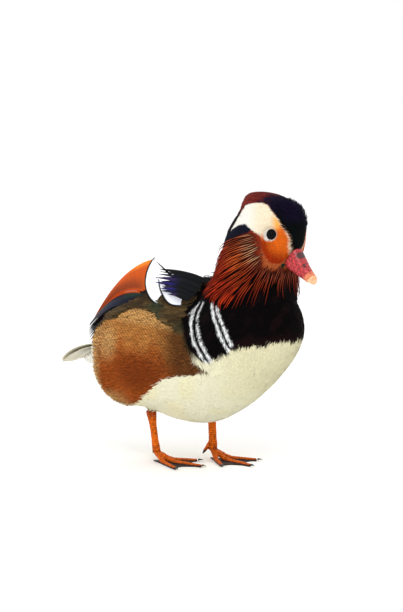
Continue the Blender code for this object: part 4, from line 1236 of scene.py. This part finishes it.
def plume_colour(along, across, which):
    """White with a black border along its rear edge and tip, and the last one all black."""
    white = mix(PLUME_WHITE, WHITE, along * 0.3)
    half = np.array([plume[3] for plume in PLUMES["r"]])[which.astype(int)]
    inset = (1 + across) * half * (1 - along**3) ** 0.8
    border = 1 - smooth_step(inset, PLUME_BORDER, PLUME_BORDER + 0.5) + (which == SPUR)
    return mix(white, FEATHER_BLACK, np.clip(border, 0, 1))


def make_plumes():
    """The white, black-edged shoulder feathers that stand up in front of the sail."""
    share = np.linspace(0, 1, PLUME_ROWS)
    for letter, side in SIDES.items():
        lines, widths = [], []
        face = unit(np.array(PLUME_FACE[letter]))
        for root, middle, tip, half in PLUMES[letter]:
            places = [np.array(place, float) * (1, side, 1) for place in (root, middle, tip)]
            lift = (PLUME_LIFT + 0.5 * len(lines)) * smooth_step(share, -0.25, 0.4)
            lines.append(quadratic(*places, share) + face * lift[:, None])
            widths.append(half * (0.6 + 0.4 * smooth_step(share, 0, 0.35)) * (1 - share**3.0) ** 0.8 + 0.05)
        formula_feather(f"plumes_{letter}", np.stack(lines), face, np.stack(widths), PLUME_COLUMNS, 0.5,
                        plume_colour, "vane", (f"plume_{letter}",))


QUILLS = 10
QUILL_ROWS = 16
QUILL_COLUMNS = (-1.0, -0.8, -0.3, -0.05, 0.05, 0.3, 0.8, 1.0)
# The first and the last quill's root and tip, on the left side
QUILL_ROOTS = (np.array((-26.0, 27.0, 137.0)), np.array((-38.0, 42.0, 121.0)))
QUILL_TIPS = (np.array((-100.0, 15.5, 104.0)), np.array((-84.0, 23.5, 88.0)))
QUILL_BOW = (0, 3.2, 4.5)
QUILL_HALF_WIDTH = 3.8
QUILL_LIFT = 1.4
QUILL_STEP = 0.3  # how far each quill lies under the one before


def quill_colour(side, along, across, which):
    """Blue-black with a paler outer edge."""
    blue = smooth_step(np.sin(which * 1.9), 0, 1) * fade(along, 0.35, 0.75)
    tone = mix(QUILL_DARK, QUILL_BLUE, blue)
    edge = smooth_step(across * side, 0.78, 0.98) * smooth_step(along, 0.45, 0.7)
    return mix(tone, QUILL_EDGE, edge * 0.4 * (which > QUILLS / 2))


def make_quills():
    """The folded flight feathers, one under another, from the sail's shaft down to the flank."""
    share = np.linspace(0, 1, QUILLS)[:, None]
    sweep = np.column_stack((share**2, share, share))
    t = np.linspace(0, 1, QUILL_ROWS)[None, :, None]
    for letter, side in SIDES.items():
        roots = (QUILL_ROOTS[0] + (QUILL_ROOTS[1] - QUILL_ROOTS[0]) * share) * (1, side, 1)
        tips = (QUILL_TIPS[0] + (QUILL_TIPS[1] - QUILL_TIPS[0]) * sweep) * (1, side, 1)
        line = roots[:, None] + (tips - roots)[:, None] * t
        line = line + np.array(QUILL_BOW) * (1, side, 1) * np.sin(math.pi * t)
        outward = unit(np.array((0, side * 0.78, 0.62)))
        line = line + outward * (QUILL_LIFT - QUILL_STEP * np.arange(QUILLS))[:, None, None]
        widths = QUILL_HALF_WIDTH * tapered(QUILL_ROWS, 3.4, 0.8)
        formula_feather(f"quills_{letter}", line, outward, widths, QUILL_COLUMNS, 0.4,
                        partial(quill_colour, side), "gloss", (f"primaries_{letter}",))


TAIL_ROWS = 16
TAIL_COLUMNS = (-1.0, -0.5, -0.06, 0.06, 0.5, 1.0)
TAIL_VANE = 5.2  # a tail feather's half width


def tail_colour(count, along, across, which):
    """Pale olive-grey above and paler below, with a fine dark shaft."""
    off_shaft = np.abs(across)
    tone = mix(TAIL_OLIVE, TAIL_GREY, smooth_step(off_shaft, 0.3, 1.0) * 0.8)
    pale = mix(TAIL_GREY, TAIL_GREY * 0.8, np.abs(np.sin(which * 2.3)) * (1 - off_shaft))
    pale = mix(pale, BELLY_WARM, smooth_step(along, 0.85, 1.0) * 0.5)
    colour = np.where((which >= count / 2)[..., None], pale, tone)
    return mix(colour, TAIL_OLIVE * 0.35, (off_shaft < 0.07) * 0.25)


def make_tail():
    """The closed fan of tail feathers, as a layer above and a layer below."""
    ahead = np.array((-math.cos(TAIL_DROOP), 0, -math.sin(TAIL_DROOP)))
    up = np.array((-math.sin(TAIL_DROOP), 0, math.cos(TAIL_DROOP)))
    share = np.linspace(0, 1, TAIL_ROWS)
    lines, faces = [], []
    for layer in (1, -1):
        for number in np.linspace(-1, 1, 2 * TAIL_FEATHERS):
            drop = -1.6 * abs(number) * layer + 0.6 * layer
            aside = number * TAIL_HALF_WIDTH * (0.55 + 0.33 * np.sin(math.pi * share * 0.62))
            length = TAIL_LENGTH * (1 - 0.13 * abs(number) ** 1.6)
            height = TAIL_BOW * np.sin(math.pi * share) + drop
            line = TAIL_ROOT + ahead * (length * share)[:, None] + up * height[:, None]
            lines.append(line + np.array((0, 1, 0)) * aside[:, None])
            faces.append(up * layer + np.array((0, 0.12 * number, 0)))
    widths = TAIL_VANE * tapered(TAIL_ROWS, 5.0, 0.7)
    formula_feather("tail_fan", np.stack(lines), np.stack(faces)[:, None], widths, TAIL_COLUMNS, 0.5,
                    partial(tail_colour, len(lines)), "vane", ("tail",))


# Bill, eyes and legs

def bare_piece(name, nodes, overlap, voxel, smoothing, shape, colour, material, slot):
    """A smooth, finely meshed copy of nodes, with its own relief and colour."""
    places, triangles = fused(name, nodes, overlap, voxel, smoothing)
    places = shape(places, vertex_normals(places, triangles))
    colours, extra = colour(places)
    mesh = mesh_of(name, places, triangles)
    paint(mesh, colours, extra)
    add_piece(mesh, material, nodes)


NOSTRIL = np.array((136.0, 4.5, 178.4))
NOSTRIL_LENGTH = 2.4
NOSTRIL_HEIGHT = 0.95
BILL_SLOPE = math.radians(49)
BILL_ALONG = np.array((math.cos(BILL_SLOPE), 0, -math.sin(BILL_SLOPE)))
BILL_UP = np.array((math.sin(BILL_SLOPE), 0, math.cos(BILL_SLOPE)))


def nostril_share(places):
    """1 in the middle of a nostril, 0 outside it."""
    offset = places * (1, 0, 1) - NOSTRIL * (1, 0, 1)
    along = offset @ BILL_ALONG / NOSTRIL_LENGTH
    across = offset @ BILL_UP / NOSTRIL_HEIGHT
    return fade(np.hypot(along, across), 0.45, 1.0) * (np.abs(places[:, 1]) > 1.5)


def bill_relief(places, normals):
    dent = nostril_share(places) * 0.9
    return places - normals * (dent + cloud(places, 2.4, 61) * 0.04)[:, None]


def bill_colour(places):
    """Red and pink mottling, dark at the ridge's root, and painted shade in the nostrils."""
    mottle = smooth_step(cloud(places, 3.4, 62) + 0.5 * cloud(places, 1.5, 63), -0.4, 0.6)
    colour = mix(BILL_RED, BILL_PINK, mottle * 0.85)
    colour = mix(colour, BILL_DARK * 1.6, smooth_step(cloud(places, 2.2, 66), 0.45, 0.9) * 0.7)
    away = np.linalg.norm((places - BILL_ROOT - BILL_ALONG * 1.6) * (1, 0.36, 1), axis=1)
    colour = mix(colour, BILL_DARK, fade(away, 2.4, 3.4) * 0.9)
    # painted shade: the nostrils are darkened, as shade inside their openings
    colour = mix(colour, BILL_DARK * 0.4, nostril_share(places))
    tip = smooth_step((places - BILL_ROOT) @ BILL_ALONG + cloud(places, 4, 67), 16.5, 20.5)
    return mix(colour, NAIL_ORANGE, tip * 0.8), np.zeros(len(places))


def plain_relief(places, normals):
    return places


def leg_relief(places, normals):
    """Broader shanks than the solid's, the left one most, with shallow creases."""
    z = places[:, 2]
    shank = smooth_step(z, 8, 15) * fade(z, 42, 48)
    growth = np.where(places[:, 1] > 0, SHANK_GROWTH["l"], SHANK_GROWTH["r"]) * shank
    creases = (cloud(places, 3.0, 73) * 0.09 + cloud(places, 1.3, 74) * 0.05) * smooth_step(z, 3, 6)
    return places + normals * (1, 0.45, 0) * growth[:, None] + normals * creases[:, None]


def nail_colour(places):
    return mix(NAIL_PEACH, NAIL_ORANGE, smooth_step(cloud(places, 4, 64), -0.6, 0.8)), np.zeros(len(places))


def claw_colour(places):
    tip = smooth_step(cloud(places, 9, 65), -0.2, 0.9)
    return mix(CLAW_DARK, CLAW_PALE, tip * 0.6), np.zeros(len(places))


TOES = ("inner", "middle", "outer")
TOE_MEETING = np.array((13.5, 20.5, 8.0))  # where the left foot's toes meet
SHANK_GROWTH = {"r": 0.45, "l": 1.0}


def toe_lines(letter):
    """Each toe as a line on the floor, from where the toes meet to its claw."""
    claws = [node_middle(f"claw_{toe}_{letter}") - ORIGIN for toe in TOES]
    return [(TOE_MEETING * (SIDES[letter], SIDES[letter], 1), claw) for claw in claws]


def nearest_toe(lines, places):
    """How far each place is from a toe's line, and how far along that line it lies."""
    near = np.full(len(places), 1e9)
    along = np.zeros(len(places))
    for start, end in lines:
        edge = (end - start)[:2]
        offset = places[:, :2] - start[:2]
        share = np.clip(offset @ edge / (edge @ edge), 0, 1.2)
        gap = np.linalg.norm(offset - share[:, None] * edge, axis=1)
        closer = gap < near
        near = np.where(closer, gap, near)
        along = np.where(closer, share * np.linalg.norm(edge), along)
    return near, along


def leg_colour(lines, places):
    """Orange toes and shank with scale rows, dark webs between the toes, and painted shade on the toes'
    undersides and in the crease at the joint above the toes.
    """
    near, along = nearest_toe(lines, places)
    z = places[:, 2]
    web_and_underside_shade = smooth_step(near + cloud(places, 5, 71) * 0.4, 2.3, 3.4) * fade(z, 7, 9)
    skin = mix(TOE_ORANGE, LEG_ORANGE, smooth_step(z, 6, 16))
    skin = mix(skin, ANKLE_RED, smooth_step(z, 34, 42) * 0.8)
    skin = mix(skin, skin * 0.5, smooth_step(cloud(places, 6, 72), 0.2, 1) * 0.55)
    skin = mix(skin, ANKLE_RED * 0.4, smooth_step(cloud(places, 3.2, 75), 0.3, 0.9) * 0.55)
    # painted shade: darker red in the crease at the joint above the toes
    painted_joint_shade = fade(np.abs(z - 11), 1.0, 4.0)
    skin = mix(skin, ANKLE_RED * 0.45, painted_joint_shade * smooth_step(cloud(places, 4, 77), -0.4, 0.6) * 0.7)
    knob = smooth_step(z, 37, 42) * smooth_step(cloud(places, 3, 76), 0.0, 0.7)
    skin = mix(skin, ANKLE_GREY, knob * 0.6)
    # painted shade: everything near the floor, the toes' undersides too, darkened like the webs
    web_and_underside_shade = np.maximum(web_and_underside_shade, fade(z, 1.2, 2.2))
    scales = (1 - web_and_underside_shade) * (1 + np.where(z > 9, z, along))
    return mix(skin, DARK_WEB_AND_SHADE, web_and_underside_shade), scales


# Grid sizes in mm, and rounds of smoothing, for the bare parts
BILL_GRID = (0.36, 3)
NAIL_GRID = (0.3, 2)
CLAW_GRID = (0.3, 1)
LEG_GRID = (0.5, 2)
LEG_OVERLAP = 0.2
BILL_PARTS = (("bill_upper_horn", "bill_upper", BILL_GRID, bill_relief, bill_colour, "bill_horn"),
              ("bill_lower_horn", "bill_lower", BILL_GRID, plain_relief, bill_colour, "bill_horn"),
              ("bill_nail_tip", "bill_nail", NAIL_GRID, plain_relief, nail_colour, "bill_nail_horn"))


def make_bare_parts():
    """The bill's three parts, and each leg with its claws."""
    for name, node, grid, relief, colour, slot in BILL_PARTS:
        bare_piece(name, (node,), 0, *grid, relief, colour, "bill", slot)
    for letter in SIDES:
        nodes = (f"foot_{letter}", f"shank_{letter}", f"hallux_{letter}")
        colour = partial(leg_colour, toe_lines(letter))
        bare_piece(f"leg_{letter}", nodes, LEG_OVERLAP, *LEG_GRID, leg_relief, colour, "leg", "leg_skin")
        claws = tuple(f"claw_{toe}_{letter}" for toe in TOES)
        bare_piece(f"claws_{letter}", claws, 0, *CLAW_GRID, plain_relief, claw_colour, "claw", "claw_horn")


def ball(centre, radius, rings, segments):
    """A closed sphere as places and triangles, with its poles along Z."""
    down = np.linspace(0, math.pi, rings)[:, None]
    around = np.linspace(0, 2 * math.pi, segments + 1)[None, :]
    height = np.cos(down) + 0 * around
    shape = np.stack((np.sin(down) * np.cos(around), np.sin(down) * np.sin(around), height), axis=-1)
    return shape.reshape(-1, 3) * radius + centre, grid_triangles(1, rings, segments + 1)


EYE_RINGS = 40
EYE_SEGMENTS = 64
CORNEA = 3.2  # how far from its middle the eye's front bulges
CORNEA_BULGE = 0.3
LID_THICKNESS = 0.42
LID_ROWS = 65
LID_COLUMNS = 13


def make_eyes():
    """A dark glossy eyeball in a thin lid that rims its opening."""
    for letter, side in SIDES.items():
        axis = EYE_AXIS * (1, side, 1)
        centre = EYE_SEAT * (1, side, 1) + axis * EYEBALL_SHIFT
        places, triangles = ball(centre, EYEBALL_RADIUS, EYE_RINGS, EYE_SEGMENTS)
        away = np.arccos(np.clip(unit(places - centre) @ axis, -1, 1)) * EYEBALL_RADIUS
        bulge = CORNEA_BULGE * fade(away, 0, CORNEA)
        places = places + unit(places - centre) * bulge[:, None]
        colours = mix(EYE_BLACK, IRIS_BROWN, smooth_step(away, 2.0, 2.5) * fade(away, 3.2, 3.8))
        mesh = mesh_of(f"eyeball_{letter}", places, triangles)
        paint(mesh, colours)
        add_piece(mesh, "eye", (f"eye_{letter}",))
        make_lid(letter, centre, axis)


def make_lid(letter, centre, axis):
    """A ring of skin where the eyeball meets the face."""
    first = unit(np.cross(axis, (0.0, 0.0, 1.0)))
    second = np.cross(axis, first)
    around = np.linspace(0, 2 * math.pi, LID_ROWS)[:, None]
    tube = np.linspace(0, 2 * math.pi, LID_COLUMNS)[None, :]
    offset = math.sqrt(EYEBALL_RADIUS**2 - OPENING_RADIUS**2)
    thickness = LID_THICKNESS * (1 + 0.25 * np.cos(around * 2))
    reach = OPENING_RADIUS + 0.1 + thickness * np.cos(tube)
    rise = offset + 0.1 + thickness * np.sin(tube)
    ring = first * (np.cos(around) * reach * OPENING_WIDTH)[..., None]
    ring = ring + second * (np.sin(around) * reach)[..., None]
    places = (centre + ring + axis * rise[..., None]).reshape(-1, 3)
    mesh = mesh_of(f"eyelid_{letter}", places, grid_triangles(1, LID_ROWS, LID_COLUMNS))
    colours = mix(LID_GREY, LID_GREY * 1.6, smooth_step(cloud(places, 2, 81), 0, 1))
    paint(mesh, colours)
    add_piece(mesh, "leg", ("head",))


# Materials

def new_material(name):
    """A node material with its shader and its vertex colour."""
    material = bpy.data.materials.new(name)
    material.use_nodes = True
    nodes, links = material.node_tree.nodes, material.node_tree.links
    shader = nodes["Principled BSDF"]
    mark = nodes.new("ShaderNodeAttribute")
    mark.attribute_name = "mark"
    return material, nodes, links, shader, mark


def set_inputs(node, values):
    """Gives the named inputs of a node their constant values."""
    for name, value in values.items():
        node.inputs[name].default_value = value


def add_node(nodes, kind, values=None, **settings):
    """A new node with its inputs' values and its own settings."""
    node = nodes.new(kind)
    for name, value in settings.items():
        setattr(node, name, value)
    set_inputs(node, values or {})
    return node


def multiply(nodes, links, colour, factor, low, high):
    """Darkens or lightens a colour by a grey that runs from low to high."""
    grey = add_node(nodes, "ShaderNodeMapRange", {"To Min": low, "To Max": high})
    links.new(factor, grey.inputs["Value"])
    product = add_node(nodes, "ShaderNodeVectorMath", operation="SCALE")
    links.new(colour, product.inputs[0])
    links.new(grey.outputs["Result"], product.inputs["Scale"])
    return product.outputs[0]


def noise(nodes, links, scale, detail, stretch=(1, 1, 1)):
    """Fine variation in the object's own metres."""
    place = nodes.new("ShaderNodeTexCoord")
    sized = add_node(nodes, "ShaderNodeMapping", {"Scale": stretch})
    links.new(place.outputs["Object"], sized.inputs["Vector"])
    texture = add_node(nodes, "ShaderNodeTexNoise", {"Scale": scale, "Detail": detail})
    links.new(sized.outputs["Vector"], texture.inputs["Vector"])
    return texture.outputs["Fac"]


def bump(nodes, links, shader, height, strength, distance):
    """Fine relief from a height."""
    made = add_node(nodes, "ShaderNodeBump", {"Strength": strength, "Distance": distance})
    links.new(height, made.inputs["Height"])
    links.new(made.outputs["Normal"], shader.inputs["Normal"])


WAVES = {"Scale": 180, "Distortion": 5, "Detail": 2, "Detail Scale": 1.4}


def feather_material(name, roughness, sheen, grain, coat=0.0):
    """Soft feathers: the markings, a fine barb grain, and wavy fine lines where the flank has them."""
    material, nodes, links, shader, mark = new_material(name)
    barbs = noise(nodes, links, grain, 3, (0.35, 1, 1))
    colour = multiply(nodes, links, mark.outputs["Color"], barbs, 0.72, 1.28)
    place = nodes.new("ShaderNodeTexCoord")
    waves = add_node(nodes, "ShaderNodeTexWave", WAVES, bands_direction="DIAGONAL")
    links.new(place.outputs["Object"], waves.inputs["Vector"])
    lined = multiply(nodes, links, colour, waves.outputs["Fac"], 0.74, 1.22)
    blend = add_node(nodes, "ShaderNodeMix", data_type="RGBA")
    links.new(mark.outputs["Alpha"], blend.inputs["Factor"])
    links.new(colour, blend.inputs["A"])
    links.new(lined, blend.inputs["B"])
    links.new(blend.outputs["Result"], shader.inputs["Base Color"])
    set_inputs(shader, {"Roughness": roughness, "Sheen Weight": sheen, "Sheen Roughness": 0.5,
                        "Specular IOR Level": 0.05, "Coat Weight": coat, "Coat Roughness": 0.3})
    bump(nodes, links, shader, barbs, 0.35, 0.0006)
    return material


def sail_material():
    """A broad orange vane with fine barbs and a few pale breaks."""
    material, nodes, links, shader, mark = new_material("sail_vane")
    barbs = noise(nodes, links, 900, 3, (1, 1, 0.06))
    streaks = noise(nodes, links, 120, 2, (1.2, 1, 0.12))
    colour = multiply(nodes, links, mark.outputs["Color"], barbs, 0.86, 1.14)
    colour = multiply(nodes, links, colour, streaks, 0.82, 1.2)
    links.new(colour, shader.inputs["Base Color"])
    set_inputs(shader, {"Roughness": 0.65, "Specular IOR Level": 0.12})
    bump(nodes, links, shader, barbs, 0.3, 0.0004)
    return material


def horn_material(name, roughness, coat, scale):
    """Bill, nail and claw: mottled, lightly scratched and glossy."""
    material, nodes, links, shader, mark = new_material(name)
    grain = noise(nodes, links, scale, 4)
    colour = multiply(nodes, links, mark.outputs["Color"], grain, 0.8, 1.2)
    links.new(colour, shader.inputs["Base Color"])
    set_inputs(shader, {"Roughness": roughness, "Coat Weight": coat, "Coat Roughness": 0.25})
    bump(nodes, links, shader, grain, 0.25, 0.0004)
    return material


SCALE_ROW = 1.9  # one row of scales along a toe or shank, in mm
PEBBLES = 900


def leg_material():
    """Scaly skin: rows of scutes along the toes and shank, fine pebbling on the webs."""
    material, nodes, links, shader, mark = new_material("leg_skin")
    rows = add_node(nodes, "ShaderNodeMath", {1: 2 * math.pi / SCALE_ROW}, operation="MULTIPLY")
    links.new(mark.outputs["Alpha"], rows.inputs[0])
    wave = add_node(nodes, "ShaderNodeMath", operation="SINE")
    links.new(rows.outputs[0], wave.inputs[0])
    scale = add_node(nodes, "ShaderNodeMapRange", {"From Min": -1, "From Max": -0.4})
    links.new(wave.outputs[0], scale.inputs["Value"])
    pebbles = add_node(nodes, "ShaderNodeTexVoronoi", {"Scale": PEBBLES})
    place = nodes.new("ShaderNodeTexCoord")
    links.new(place.outputs["Object"], pebbles.inputs["Vector"])
    colour = multiply(nodes, links, mark.outputs["Color"], scale.outputs["Result"], 0.72, 1.04)
    colour = multiply(nodes, links, colour, pebbles.outputs["Distance"], 0.72, 1.5)
    links.new(colour, shader.inputs["Base Color"])
    set_inputs(shader, {"Roughness": 0.5, "Specular IOR Level": 0.06})
    height = nodes.new("ShaderNodeMath")
    links.new(scale.outputs["Result"], height.inputs[0])
    links.new(pebbles.outputs["Distance"], height.inputs[1])
    bump(nodes, links, shader, height.outputs[0], 0.5, 0.0005)
    return material


def eye_material():
    """Near-black iris under a clear wet surface."""
    material, nodes, links, shader, mark = new_material("eye")
    fleck = noise(nodes, links, 1400, 2)
    colour = multiply(nodes, links, mark.outputs["Color"], fleck, 0.7, 1.3)
    links.new(colour, shader.inputs["Base Color"])
    set_inputs(shader, {"Roughness": 0.3, "Specular IOR Level": 0.0, "Coat Weight": 0.12,
                        "Coat Roughness": 0.04})
    return material


def floor_material():
    """A plain pale studio sweep with a faint tooth."""
    material = bpy.data.materials.new("studio_floor")
    material.use_nodes = True
    nodes, links = material.node_tree.nodes, material.node_tree.links
    shader = nodes["Principled BSDF"]
    set_inputs(shader, {"Base Color": FLOOR_GREY, "Roughness": 0.8, "Specular IOR Level": 0.1})
    bump(nodes, links, shader, noise(nodes, links, 300, 2), 0.05, 0.0005)
    return material


MATERIALS = {
    "feather": feather_material("soft_feather", 0.8, 0.01, 1500),
    "vane": feather_material("firm_vane", 0.65, 0.01, 2200),
    "gloss": feather_material("glossy_vane", 0.45, 0.0, 2200, 0.05),
    "sail": sail_material(),
    "bill": horn_material("bill_horn", 0.42, 0.15, 700),
    "claw": horn_material("claw_horn", 0.45, 0.2, 900),
    "leg": leg_material(),
    "eye": eye_material(),
}


# Skin

def skin_depth(places):
    """How far the skin lies inside the coat's outer form."""
    head = smooth_step(places[:, 2], 160, 182) * smooth_step(places[:, 0], 50, 62)
    depth = BODY_DEPTH + (HEAD_DEPTH - BODY_DEPTH) * head
    leg = fade(places[:, 2], 36, 46)
    hind = fade(places[:, 0], -54, -30)
    return depth * (1 - 0.6 * leg) + HIND_DEPTH * hind * smooth_step(np.abs(places[:, 1]), 18, 34)


def seat_eyes(places):
    """Lowers the skin round each eye to the height of the face, and a little more inside its lids."""
    height, aside = eye_offset(places)
    bottom = FACE_HEIGHT - 1.2 * fade(aside, 2.6, 3.8)
    sink = np.maximum(height - bottom, 0) * fade(aside, 6.0, 8.0)
    return places - beside(places, EYE_AXIS) * sink[:, None]


def make_skin():
    """One skin for all the flesh, and the part that each of its places belongs to."""
    solids = (*FLESH, "eye_r", "eye_l")
    places, triangles = fused("skin_form", solids, SKIN_OVERLAP, SKIN_VOXEL, SKIN_SMOOTHING)
    gaps = []
    for node in FLESH:
        own, _, faces = node_arrays(node)
        gaps.append(Surface(own, faces).distance(places))
    labels = np.argmin(gaps, axis=0)
    places = places - vertex_normals(places, triangles) * skin_depth(places)[:, None]
    places = seat_eyes(places)
    mesh = mesh_of("skin", places, triangles)
    colours, fine = colour_at(places)
    # painted shade: the skin is darkened where it lies under the coat
    paint(mesh, colours * SKIN_PAINTED_SHADE, fine)
    add_piece(mesh, "feather", FLESH)
    return Surface(places, triangles), labels


# Studio, in metres

FLOOR_HALF = 60.0
FLOOR_STEPS = 12
SKY_STRENGTH = 1.06
CLIP = (0.05, 200)
# Each light's name, size, power, place and the height that it faces
LIGHTS = (("key", 0.6, 11, (1.1, -1.1, 1.5), 0.12),
          ("side", 0.8, 4, (-1.1, -1.3, 0.7), 0.12),
          ("back", 0.8, 4, (-0.6, 1.2, 1.2), 0.15))


def camera_axes():
    """The camera's backward, right and upward directions."""
    back = Vector((math.sin(AZIMUTH) * math.cos(ELEVATION), -math.cos(AZIMUTH) * math.cos(ELEVATION),
                   math.sin(ELEVATION)))
    right = Vector((math.cos(AZIMUTH), math.sin(AZIMUTH), 0))
    return back, right, back.cross(right)


def make_camera():
    """The photograph's camera, aimed so that the bird's origin falls on its pixel."""
    back, right, up = camera_axes()
    off_right = (PHOTO_WIDTH / 2 - ORIGIN_PIXEL[0]) * PIXEL
    off_up = (ORIGIN_PIXEL[1] - PHOTO_HEIGHT / 2) * PIXEL
    target = Vector(ORIGIN) + right * off_right + up * off_up
    data = bpy.data.cameras.new("camera")
    camera = placed("camera", data)
    camera.location = (target + back * CAMERA_DISTANCE) * MM
    camera.rotation_euler = back.to_track_quat("Z", "Y").to_euler()
    data.sensor_fit = "VERTICAL"
    data.sensor_height = SENSOR
    data.lens = SENSOR * CAMERA_DISTANCE / (PHOTO_HEIGHT * PIXEL)
    data.clip_start = CLIP[0]
    data.clip_end = CLIP[1]
    bpy.context.scene.camera = camera


def add_light(name, size, power, place, height):
    """A round soft light that faces a spot above the middle of the floor."""
    data = bpy.data.lights.new(name, "AREA")
    data.shape = "DISK"
    data.size = size
    data.energy = power
    light = placed(name, data)
    light.location = place
    light.rotation_euler = (Vector(place) - Vector((0, 0, height))).to_track_quat("Z", "Y").to_euler()


def make_floor():
    """The wide pale floor, which isn't part of the bird."""
    ticks = np.linspace(-FLOOR_HALF, FLOOR_HALF, FLOOR_STEPS + 1)
    corners = [(x, y, 0.0) for x in ticks for y in ticks]
    width = FLOOR_STEPS + 1
    quads = [(i * width + j, (i + 1) * width + j, (i + 1) * width + j + 1, i * width + j + 1)
             for i in range(FLOOR_STEPS) for j in range(FLOOR_STEPS)]
    mesh = bpy.data.meshes.new("floor")
    mesh.from_pydata(corners, [], quads)
    mesh.materials.append(floor_material())
    floor = placed("floor", mesh)


def make_studio():
    """Soft light from all round, a broad key light over the camera, and a pale floor."""
    world = bpy.data.worlds.new("studio")
    world.use_nodes = True
    set_inputs(world.node_tree.nodes["Background"], {"Color": (1, 1, 1, 1), "Strength": SKY_STRENGTH})
    bpy.context.scene.world = world
    for light in LIGHTS:
        add_light(*light)
    make_floor()
    bpy.context.scene.view_settings.view_transform = "Standard"


make_camera()
make_studio()
SKIN, PARTS = make_skin()
make_coat(SKIN, PARTS)
make_hackles(SKIN, PARTS)
make_crest(SKIN)
make_coverts(SKIN, PARTS)
make_scapulars()
make_sails()
make_plumes()
make_quills()
make_tail()
make_bare_parts()
make_eyes()
